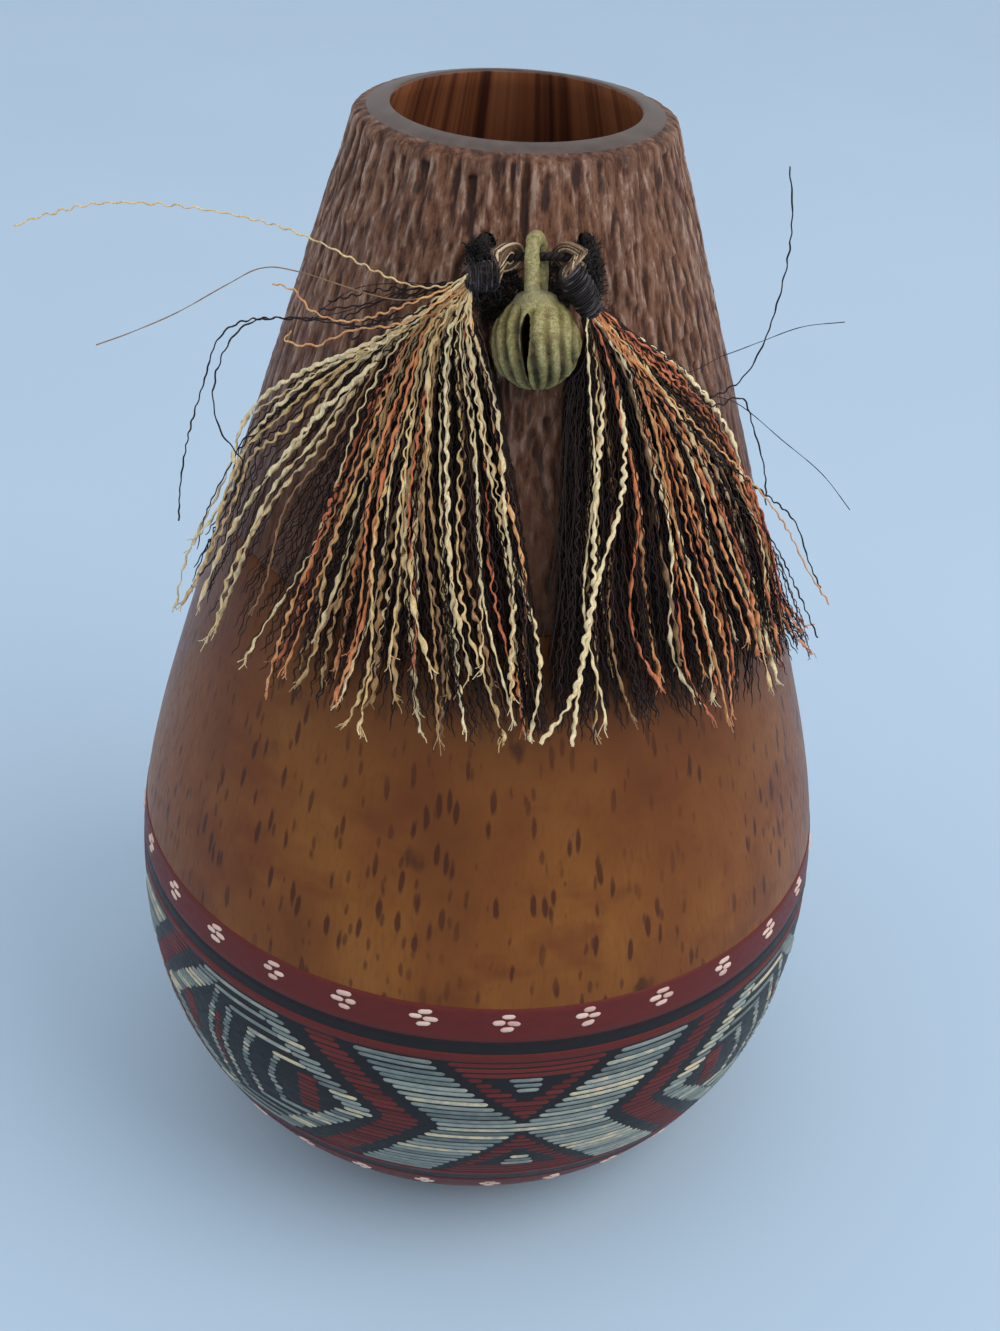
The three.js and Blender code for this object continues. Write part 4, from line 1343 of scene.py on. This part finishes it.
RIGHT_GUIDES = [
    [(588, 306), (577, 342), (571, 395), (568, 486), (564, 587), (557, 671), (545, 758)],
    [(596, 320), (601, 385), (602, 452), (600, 519), (603, 587), (613, 654), (624, 745)],
    [(603, 319), (627, 368), (643, 425), (654, 486), (660, 553), (667, 620), (680, 671), (703, 728)],
    [(606, 317), (637, 364), (667, 418), (691, 479), (711, 540), (731, 593), (741, 640), (742, 722)],
    [(610, 317), (650, 368), (691, 412), (721, 452), (744, 499), (761, 553), (771, 604), (790, 676)],
    [(613, 316), (650, 346), (677, 361), (697, 385), (721, 408), (734, 439), (744, 472), (758, 519),
     (781, 573), (798, 614), (820, 645)],
]


def guide(points):
    """Places on the wall along a strand that shows at these pixels, standing off the wood at the head."""
    points = np.array(points, float)
    reach = np.concatenate([[0], np.cumsum(np.linalg.norm(np.diff(points, axis=0), axis=1))])
    offs = lerp(ROOT_OFF, FRONT_OFF, smooth(0, 0.35, reach / reach[-1]))
    return to_wall(spread([seen_on_wall(*point, off) for point, off in zip(points, offs)], GUIDE_POINTS))


def directions(tassel, drop):
    """Along the fibres, out from the wall and across the fan, at a drop below level."""
    drop, splay = math.radians(drop), math.radians(tassel["splay"])
    along = np.array([tassel["side"] * math.cos(drop) * math.cos(splay), -math.cos(drop) * math.sin(splay),
                      -math.sin(drop)])
    out = np.array([0.0, -1.0, 0.0])
    out = unit(out - along * out.dot(along))
    across = unit(np.cross(along, out))
    return along, out, across if across[2] >= 0 else -across


def head(tassel):
    """The middle of the fold's ring and the start of the bundle."""
    pitch = math.radians(HEAD_PITCH)
    middle = np.array([HANGER_SHIFT + tassel["side"] * FOLD_SPACING / 2, RUN_Y, CORD_HEIGHT])
    return middle, middle - HEAD_OFFSET * np.array([0, math.cos(pitch), math.sin(pitch)])


def fan_paths(tassel, guides, shares, fronts, ends, steps):
    """Paths from inside the head to the tips; shares go across the fan, fronts away from the wall."""
    along, out, across = directions(tassel, tassel["drop"])
    at = shares * (len(guides) - 1)
    low = np.minimum(at.astype(int), len(guides) - 2)
    places = lerp(guides[low], guides[low + 1], (at - low)[:, None, None])
    roots = (head(tassel)[1] + along * tassel["mouth"] + (fronts - 0.5)[:, None] * 3.0 * out
             + (shares - 0.5)[:, None] * 3.2 * across)
    root_places = to_wall(roots)[:, None]
    t = np.linspace(0, 1, GUIDE_POINTS)[None, :, None]
    places[..., :2] += (root_places - places[:, :1])[..., :2] * (1 - smooth(0, 0.15, t))
    tip_off = lerp(1.2, 8.6, fronts)[:, None]
    places[..., 2] = lerp(root_places[..., 2], tip_off, smooth(0, 0.3, t[..., 0]))
    paths = []
    for root, place_at, end in zip(roots, places, ends):
        stops = np.linspace(0, end * (GUIDE_POINTS - 1), GUIDE_POINTS)
        columns = [np.interp(stops, np.arange(GUIDE_POINTS), place_at[:, k]) for k in range(3)]
        route = np.stack(columns, axis=-1)
        paths.append(spread(np.vstack([root - 2 * along, from_wall(route)]), steps))
    return np.array(paths)


def crimp(rng, paths, least, most, wave, wander):
    """Gives each path small waves of its own and a slow wander."""
    count = len(paths)
    length = run_lengths(paths)
    _, side, face = path_frame(paths)
    each = draws(rng, count)

    def slow(low, high):
        return np.sin(2 * math.pi * length / each(low, high) + each(0, 6.3))

    whole = length[:, -1:]
    start = smooth(0, 7, length)
    phase = 2 * math.pi * length / (wave * each(0.82, 1.25)) + each(0, 6.3)
    phase = phase + each(0.4, 1.3) * slow(14, 34)
    size = each(least, most) * start * (0.7 + 0.3 * slow(18, 40))
    loose = wander * (length / whole) * slow(40, 95) * each(0.2, 1)
    lift = 0.5 * wander * (length / whole) * slow(35, 80)
    sideways = size * (np.sin(phase) + 0.16 * np.sin(3 * phase)) + loose
    outward = 0.45 * size * np.sin(phase + 1.3) + lift
    return paths + sideways[..., None] * side + outward[..., None] * face


def clear_of_bell(paths):
    """Moves what comes too close to the bell's ball out from it."""
    middle = hang_bell(np.array([[0, 0, -BELL_DROP]]))[0]
    away = paths - middle
    far = np.linalg.norm(away, axis=-1, keepdims=True)
    return middle + away / far * np.maximum(far, BELL_RADIUS + BELL_CLEARANCE)


def dark_strands(tassel, guides, seed, count, front):
    rng = np.random.default_rng(seed)
    steps = DARK_STEPS
    shares = 0.97 * ((np.arange(count) + rng.uniform(0, 1, count)) / count) ** tassel["inward"]
    shares = shares[rng.uniform(0, 1, count) < lerp(1.0, tassel["outer"], smooth(0.58, 0.78, shares))]
    count = len(shares)
    fronts = rng.uniform(*front, count)
    paths = fan_paths(tassel, guides, shares, fronts, rng.uniform(0.8, 0.985, count), steps)
    paths = crimp(rng, paths, 0.2, 0.5, 3.4, 2.2)
    paths = clear_of_bell(off_the_wood(paths, 0.6))
    radius = rng.uniform(0.11, 0.2, (count, 1)) * np.ones((1, steps))
    radius[:, -4:] *= np.array([0.95, 0.85, 0.7, 0.5])
    return fibres(paths, radius, radius * 0.8, 3, rng.beta(1.3, 2.0, count))


def light_strands(rng, tassel, guides, shares, tints):
    """Flat crimped ribbons with frayed ends; the orange ones are finer."""
    count, steps = len(shares), LIGHT_STEPS
    fronts = rng.uniform(0.66, 1.0, count)
    paths = fan_paths(tassel, guides, shares, fronts, rng.uniform(0.8, 0.99, count), steps)
    paths = crimp(rng, paths, 0.13, 0.42, 3.8, 2.4)
    paths = clear_of_bell(off_the_wood(paths, 0.9))
    length = run_lengths(paths)
    each = draws(rng, count)
    turn = each(0, 6.3) + each(0.8, 1.7) * np.sin(2 * math.pi * length / each(6, 13) + each(0, 6.3))
    wide = each(0.28, 0.6) * np.where(tints > 0.7, 0.92, 1.0)[:, None]
    bulge = 1 + 0.25 * np.sin(2 * math.pi * length / each(5, 11) + each(0, 6.3))
    wide = wide * bulge * np.linspace(0.9, 1, steps)
    parts = [fibres(paths, wide, each(0.1, 0.16), 6, tints, turn)]
    ends = paths[:, -1]
    ways = unit(paths[:, -1] - paths[:, -6])
    for _ in range(4):
        roots = ends - ways * rng.uniform(0.4, 2.2, (count, 1))
        splay = unit(ways + rng.normal(0, 0.26, (count, 3)))
        frayed = off_the_wood(hairs(rng, roots, splay, 1.2, 3.2, 0.3), 0.5)
        parts.append(fibres(frayed, 0.13, 0.08, 3, tints))
    return parts


def fan_mix(seed, inner_count, outer_count, inner, outer, orange):
    """Shares across the fan and tints of light strands in an inner and an outer zone, some orange."""
    rng = np.random.default_rng(seed)
    shares, tints = [], []
    for count, zone, part in ((inner_count, inner, orange[0]), (outer_count, outer, orange[1])):
        shares.append(lerp(*zone, (np.arange(count) + rng.uniform(0, 1, count)) / count))
        tint = rng.normal(0.47, 0.07, count).clip(0.34, 0.6)
        dull = rng.uniform(0, 1, count) < 0.24
        tint[dull] = rng.uniform(0.06, 0.28, dull.sum())
        red = rng.uniform(0, 1, count) < part
        tint[red] = rng.uniform(0.72, 0.9, red.sum())
        tints.append(tint)
    return np.concatenate(shares), np.concatenate(tints)


STRAY_KINDS = {"light": (0.19, 0.4), "orange": (0.2, 0.72), "pale": (0.13, 0.12), "ribbon": (0.5, 0.5),
               "dark": (0.19, 0.3), "hair": (0.1, 0.3)}


def stray_strands(rng, tassel, routes):
    """Single strands along seen points, which have a depth where they stand off the vase."""
    along, _, _ = directions(tassel, tassel["drop"])
    root = head(tassel)[1] + along * tassel["mouth"]
    parts = []
    for kind, points in routes:
        shown = [seen(*point) if len(point) == 3 else seen_on_wall(*point, STRAY_OFF) for point in points]
        path = spread([root - 2 * along, root, *shown], STRAY_STEPS)[None]
        path = crimp(rng, path, 0.22, 0.4, 3.3, 0.6) if kind not in ("hair", "pale") else path
        path = clear_of_bell(off_the_wood(path, 0.8))
        radius, tint = STRAY_KINDS[kind]
        turn = 0.9 * np.sin(run_lengths(path) / 1.7)
        parts.append((kind, fibres(path, radius, min(radius * 0.7, 0.19), 6, [tint], turn)))
    return parts


# Stray strands as seen points: across and down in the photograph's pixels, and depth towards the viewer
LEFT_STRAYS = [
    ("light", [(410, 285, -44), (310, 238, -32), (250, 218, -30), (180, 206, -30), (100, 204, -30),
               (40, 216, -30), (14, 226, -30)]),
    ("pale", [(400, 300, -46), (300, 272, -32), (262, 268, -30), (228, 284, -30), (178, 312, -30),
              (132, 332, -30), (96, 345, -30)]),
    ("dark", [(400, 318, -48), (285, 317, -34), (240, 322, -30), (216, 342, -30), (204, 382, -30),
              (190, 432, -30), (181, 482, -30), (178, 520, -30)]),
    ("dark", [(400, 325, -50), (300, 318, -36), (252, 322, -32), (226, 348, -32), (213, 392, -32),
              (220, 430, -33), (242, 462, -35), (235, 490, -36)]),
    ("orange", [(405, 305, -50), (350, 322, -44), (312, 312, -40), (294, 292, -38), (272, 284, -36)]),
    ("orange", [(410, 320, -52), (352, 330, -46), (318, 345, -43), (286, 342, -40), (290, 330, -40)]),
    ("ribbon", [(425, 308), (384, 335), (347, 352), (313, 366), (273, 391), (251, 414), (239, 437),
                (233, 462)]),
    ("ribbon", [(430, 310), (400, 335), (370, 365), (330, 403), (296, 443), (268, 476)]),
    ("dark", [(438, 284), (402, 288), (366, 293), (328, 300)]),
    ("dark", [(438, 285), (404, 292), (372, 304), (338, 318)]),
    ("dark", [(438, 287), (408, 298), (376, 316), (350, 338)]),
    ("dark", [(438, 286), (400, 297), (362, 306), (318, 309)]),
    ("dark", [(438, 288), (404, 306), (382, 322), (344, 330)]),
    ("hair", [(438, 284), (400, 283), (352, 290), (305, 322)]),
    ("hair", [(438, 285), (396, 292), (350, 310), (310, 318)]),
]
RIGHT_STRAYS = [
    ("dark", [(690, 392, -42), (735, 385, -36), (761, 350, -34), (778, 300, -34), (788, 250, -34),
              (791, 205, -34), (789, 166, -34)]),
    ("hair", [(670, 372, -42), (725, 355, -34), (760, 342, -32), (802, 327, -32), (845, 322, -32)]),
    ("hair", [(690, 385, -44), (738, 404, -36), (782, 440, -34), (822, 474, -34), (850, 510, -34)]),
    ("dark", [(700, 400, -44), (740, 398, -38), (752, 430, -37), (763, 470, -38), (766, 505, -38)]),
    ("orange", [(690, 420, -50), (757, 490, -44), (788, 530, -42), (810, 570, -42), (831, 602, -42)]),
    ("dark", [(690, 430, -50), (758, 488, -43), (792, 520, -40), (808, 560, -40), (822, 588, -40)]),
    ("dark", [(690, 450, -52), (765, 530, -45), (796, 588, -42), (818, 638, -42)]),
    ("ribbon", [(602, 330), (616, 378), (624, 432), (621, 499), (602, 568), (590, 614), (578, 688),
                (571, 747)]),
    ("ribbon", [(598, 330), (603, 400), (598, 470), (593, 540), (594, 600), (585, 660), (568, 705),
                (538, 742)]),
    ("ribbon", [(612, 322), (645, 345), (681, 370), (712, 403), (734, 442), (742, 481)]),
    ("hair", [(586, 330), (570, 405), (563, 490), (547, 607), (543, 640)]),
    ("hair", [(586, 332), (572, 410), (566, 470), (566, 560), (570, 640)]),
    ("hair", [(584, 330), (568, 400), (562, 530), (552, 590), (538, 628)]),
    ("hair", [(586, 334), (566, 420), (556, 500), (560, 580), (552, 650)]),
    ("hair", [(588, 330), (576, 420), (574, 520), (560, 600), (548, 668)]),
    ("hair", [(590, 334), (580, 430), (572, 540), (575, 610), (556, 690)]),
    ("hair", [(586, 336), (562, 400), (540, 470), (560, 540), (590, 600)]),
]


def tassel_strands(tassel, seed, routes, light_shares, tints, strays):
    rng = np.random.default_rng(seed)
    name, body = tassel["name"], tassel["name"] + "_tassel"
    guides = np.array([guide(route) for route in routes])
    light = light_strands(rng, tassel, guides, light_shares, tints)
    fore = [dark_strands(tassel, guides, seed + 2, DARK_COUNT * 2 // 3, (0.6, 0.95))]
    for kind, part in stray_strands(rng, tassel, strays):
        (fore if kind in ("dark", "hair") else light).append(part)
    ribbons = mesh_object(name + "_light_fibres", *join(light))
    settle(ribbons, body, "light_fibre", [LIGHT], name + "_tassel_light_strands")
    back = dark_strands(tassel, guides, seed + 1, DARK_COUNT, (0.0, 0.35))
    bundle = mesh_object(name + "_dark_fibres", *back)
    settle(bundle, body, "dark_fibre", [DARK], name + "_tassel_dark_strands")
    middle = dark_strands(tassel, guides, seed + 3, DARK_COUNT, (0.3, 0.7))
    settle(mesh_object(name + "_dark_fibres_middle", *middle), body, "dark_fibre", [DARK])
    settle(mesh_object(name + "_dark_fibres_front", *join(fore)), body, "dark_fibre", [DARK])


# The heads of the tassels: folded fibre and wound thread

FOLD_TILT = 48.0
FOLD_LOOPS = 90
THREAD_LAYERS = ((0.34, 2.25, 1), (0.46, 2.45, -1), (0.95, 2.68, 1))
THREAD_KNOTS = 90
FUZZ_COUNT = 140
FUZZ_CLEAR = 6.7


def fold_loop(rng, tassel):
    """One fibre folded over the cord in a slanting loop, with both ends in the neck of the bundle."""
    middle, start = head(tassel)
    along, out, across = directions(tassel, tassel["drop"])
    tilt = math.radians(FOLD_TILT)
    toward = np.array([tassel["side"] * math.sin(tilt), -math.cos(tilt), 0])
    upward = np.array([0, 0, 1.0])
    normal = np.cross(toward, upward)
    turns = np.linspace(0.6, 2 * math.pi - 0.6, 16)[:, None]
    nest = rng.uniform(0.25, 1.0)
    wide = tassel["fold_wide"] * nest
    tall = lerp(0.5, 2.4, nest)
    centre = middle + [tassel["fold_shift"], 0, 0] + rng.uniform(-1, 1) * lerp(1.6, 0.8, nest) * normal
    loop = centre + wide * np.cos(turns) * toward + tall * np.sin(turns) * upward
    ends = []
    for offsets in rng.uniform(-1.3, 1.3, (2, 2)):
        in_neck = start + offsets[0] * out + offsets[1] * across + along * tassel["whipping"][0]
        ends.append([in_neck + along * 3.0, in_neck + along * 0.4])
    path = spread(np.vstack([ends[0], loop, ends[1][::-1]]), 64)[None]
    size = rng.uniform(0.18, 0.32)
    return fibres(path, size, 0.6 * size, 5, [rng.uniform(0, 1)], rng.uniform(0, 3))


def tassel_fold(tassel, seed):
    """Fibres folded over the cord in nested loops and gathered into the neck of the bundle."""
    rng = np.random.default_rng(seed)
    parts = [fold_loop(rng, tassel) for _ in range(FOLD_LOOPS)]
    start = head(tassel)[1]
    along, _, _ = directions(tassel, tassel["drop"])
    first, last = tassel["whipping"]
    line = spread([start + along * at for at in (first + 0.9, (first + last) / 2, last)], 12)
    parts.append((*sweep(line[None], 1.7, 1.7, 18), {"tint": 0.0}))
    name = tassel["name"]
    fold = mesh_object(name + "_fold_fibres", *join(parts))
    return settle(fold, name + "_tassel", "folded_fibre", [FOLDED], name + "_tassel_fold")


def wound_thread(rng, tassel, layer):
    """One layer of thread wound round the neck of the bundle."""
    pitch, radius, way = THREAD_LAYERS[layer]
    start = head(tassel)[1]
    along, out, across = directions(tassel, tassel["drop"])
    first, last = tassel["whipping"]
    turns = (last - first) / pitch
    t = np.linspace(0, 1, int(turns * 30))
    angle = way * 2 * math.pi * turns * t + layer
    slant = 0.5 * np.cos(angle + 0.7 * layer)
    knots = np.linspace(0, 1, THREAD_KNOTS)
    swell = 0.74 + 0.26 * np.sin(math.pi * t) ** 0.5
    swell = swell + 0.025 * np.interp(t, knots, rng.normal(size=THREAD_KNOTS))
    path = (start + (lerp(first, last, t) + slant)[:, None] * along
            + (radius * swell * np.cos(angle))[:, None] * out
            + (radius * swell * np.sin(angle))[:, None] * across)
    # Random lighter stretches along the thread: painted highlights.
    tint = np.interp(t, knots, rng.uniform(0, 1, THREAD_KNOTS) ** 1.5)
    return fibres(path[None], 0.2, 0.17, 5, tint[None])


def thread_fuzz(rng, tassel):
    """Loose ends of the thread, apart from those that would touch the bell."""
    start = head(tassel)[1]
    along, out, across = directions(tassel, tassel["drop"])
    angle = rng.uniform(0, 2 * math.pi, FUZZ_COUNT)
    way = np.cos(angle)[:, None] * out + np.sin(angle)[:, None] * across
    roots = start + rng.uniform(*tassel["whipping"], FUZZ_COUNT)[:, None] * along + 2.6 * way
    ways = unit(way * 0.3 + rng.normal(0, 0.6, (FUZZ_COUNT, 3)))
    fuzz = off_the_wood(hairs(rng, roots, ways, 0.8, 2.4, 0.6), 0.3)
    away = (tassel["side"] * fuzz[..., 0]).min(axis=1) > FUZZ_CLEAR
    return fibres(fuzz[away], 0.06, 0.06, 3, rng.uniform(0, 0.8, FUZZ_COUNT)[away])


def tassel_whipping(tassel, seed):
    """Fine black thread wound round the neck in crossing layers, with loose fuzz."""
    rng = np.random.default_rng(seed)
    parts = [wound_thread(rng, tassel, layer) for layer in range(len(THREAD_LAYERS))]
    parts.append(thread_fuzz(rng, tassel))
    name = tassel["name"]
    thread = mesh_object(name + "_whipping_thread", *join(parts))
    return settle(thread, name + "_tassel", "black_thread", [THREAD], name + "_tassel_whipping")


# The camera, as it stood to the object in the photograph of 1000 by 1331 pixels

CAMERA_PLACE = np.array([-49.93, -355.26, 349.0])
CAMERA_YAW = 8.52
CAMERA_PITCH = 32.66
CAMERA_ROLL = 3.40
PIXELS_FOCAL = 1813.0
PHOTO_WIDTH = 1000
PHOTO_HEIGHT = 1331


def camera_axes():
    yaw, pitch, roll = (math.radians(angle) for angle in (CAMERA_YAW, CAMERA_PITCH, CAMERA_ROLL))
    ahead = np.array([math.sin(yaw) * math.cos(pitch), math.cos(yaw) * math.cos(pitch), -math.sin(pitch)])
    right = np.array([math.cos(yaw), -math.sin(yaw), 0.0])
    up = np.cross(right, ahead)
    return math.cos(roll) * right + math.sin(roll) * up, math.cos(roll) * up - math.sin(roll) * right, ahead


def sight(across, down):
    """The way from the camera through a pixel of the photograph."""
    right, up, ahead = camera_axes()
    aside = right * (across - PHOTO_WIDTH / 2) / PIXELS_FOCAL
    return ahead + aside + up * (PHOTO_HEIGHT / 2 - down) / PIXELS_FOCAL


def seen(across, down, depth):
    """The point at a depth in Y that shows at a pixel of the photograph."""
    way = sight(across, down)
    return CAMERA_PLACE + way * (depth - CAMERA_PLACE[1]) / way[1]


def seen_on_wall(across, down, off):
    """The point at a distance from the wood that shows at a pixel, or the closest to it in sight."""
    points = CAMERA_PLACE + unit(sight(across, down)) * np.linspace(220, 460, 1600)[:, None]
    gap = to_wall(points)[:, 2] - off
    hits = np.nonzero(gap < 0)[0]
    return points[hits[0] if len(hits) else gap.argmin()]


def set_camera():
    right, up, ahead = camera_axes()
    data = bpy.data.cameras.new("camera")
    data.sensor_width = 36.0
    data.lens = PIXELS_FOCAL * data.sensor_width / PHOTO_HEIGHT
    data.clip_start = 0.01
    data.clip_end = 50.0
    camera = bpy.data.objects.new("camera", data)
    matrix = Matrix.Identity(4)
    for row in range(3):
        matrix[row][0], matrix[row][1], matrix[row][2] = right[row], up[row], -ahead[row]
        matrix[row][3] = CAMERA_PLACE[row] * MM
    camera.matrix_world = matrix
    bpy.context.collection.objects.link(camera)
    bpy.context.scene.camera = camera


# The stage

FLOOR_REACH = 4000
WORLD_STRENGTH = 0.8


def area_light(name, place_at, size, power, colour):
    data = bpy.data.lights.new(name, "AREA")
    data.shape = "DISK"
    data.size = size
    data.energy = power
    data.color = colour
    light = bpy.data.objects.new(name, data)
    light.location = place_at
    light.rotation_euler = (Vector((0, 0, 0.12)) - Vector(place_at)).to_track_quat("-Z", "Y").to_euler()
    bpy.context.collection.objects.link(light)


def set_stage():
    made, shader = new_material("pale_floor", 0.2)
    at = place(shader)
    patch = noise_of(stretched(at, 260, 260, 260), 2)
    colour = ramp(patch, [(0.3, srgb(179, 203, 226)), (0.7, srgb(182, 206, 229))])
    feed(shader, "Base Color", colour)
    feed(shader, "Roughness", between(patch, 0.2, 0.8, 0.8, 0.95))
    corners = [(x * FLOOR_REACH, y * FLOOR_REACH, 0) for x, y in ((-1, -1), (1, -1), (1, 1), (-1, 1))]
    floor = mesh_object("floor", corners, [[0, 1, 2, 3]])
    floor.data.materials.append(made)
    world = bpy.data.worlds.new("pale_world")
    world.use_nodes = True
    background = world.node_tree.nodes["Background"]
    background.inputs["Color"].default_value = (0.94, 0.97, 1.0, 1.0)
    background.inputs["Strength"].default_value = WORLD_STRENGTH
    bpy.context.scene.world = world
    area_light("key", (0.95, -0.6, 1.25), size=1.3, power=11.5, colour=(1.0, 0.97, 0.92))
    area_light("fill", (-1.1, -0.3, 1.0), size=1.0, power=1.0, colour=(0.95, 0.97, 1.0))
    bpy.context.scene.view_settings.view_transform = "Standard"


# What is made, in order

LIGHT = light_fibre()
DARK = dark_fibre()
FOLDED = folded_fibre()
THREAD = black_thread()
YARN = cord_yarn()

set_camera()
set_stage()
turned_body()
painted_belt()
twisted_cord(YARN)
hole_tufts(THREAD)
cast_bell()
rolled_pellet()
left_shares, left_tints = fan_mix(71, 38, 8, inner=(0.14, 0.68), outer=(0.72, 1.0), orange=(0.2, 0.1))
tassel_strands(LEFT, 41, LEFT_GUIDES, left_shares, left_tints, LEFT_STRAYS)
right_shares, right_tints = fan_mix(72, 9, 24, inner=(0.08, 0.5), outer=(0.42, 0.93), orange=(0.12, 0.78))
tassel_strands(RIGHT, 51, RIGHT_GUIDES, right_shares, right_tints, RIGHT_STRAYS)
for tassel, seed in ((LEFT, 61), (RIGHT, 67)):
    tassel_fold(tassel, seed)
    tassel_whipping(tassel, seed + 1)
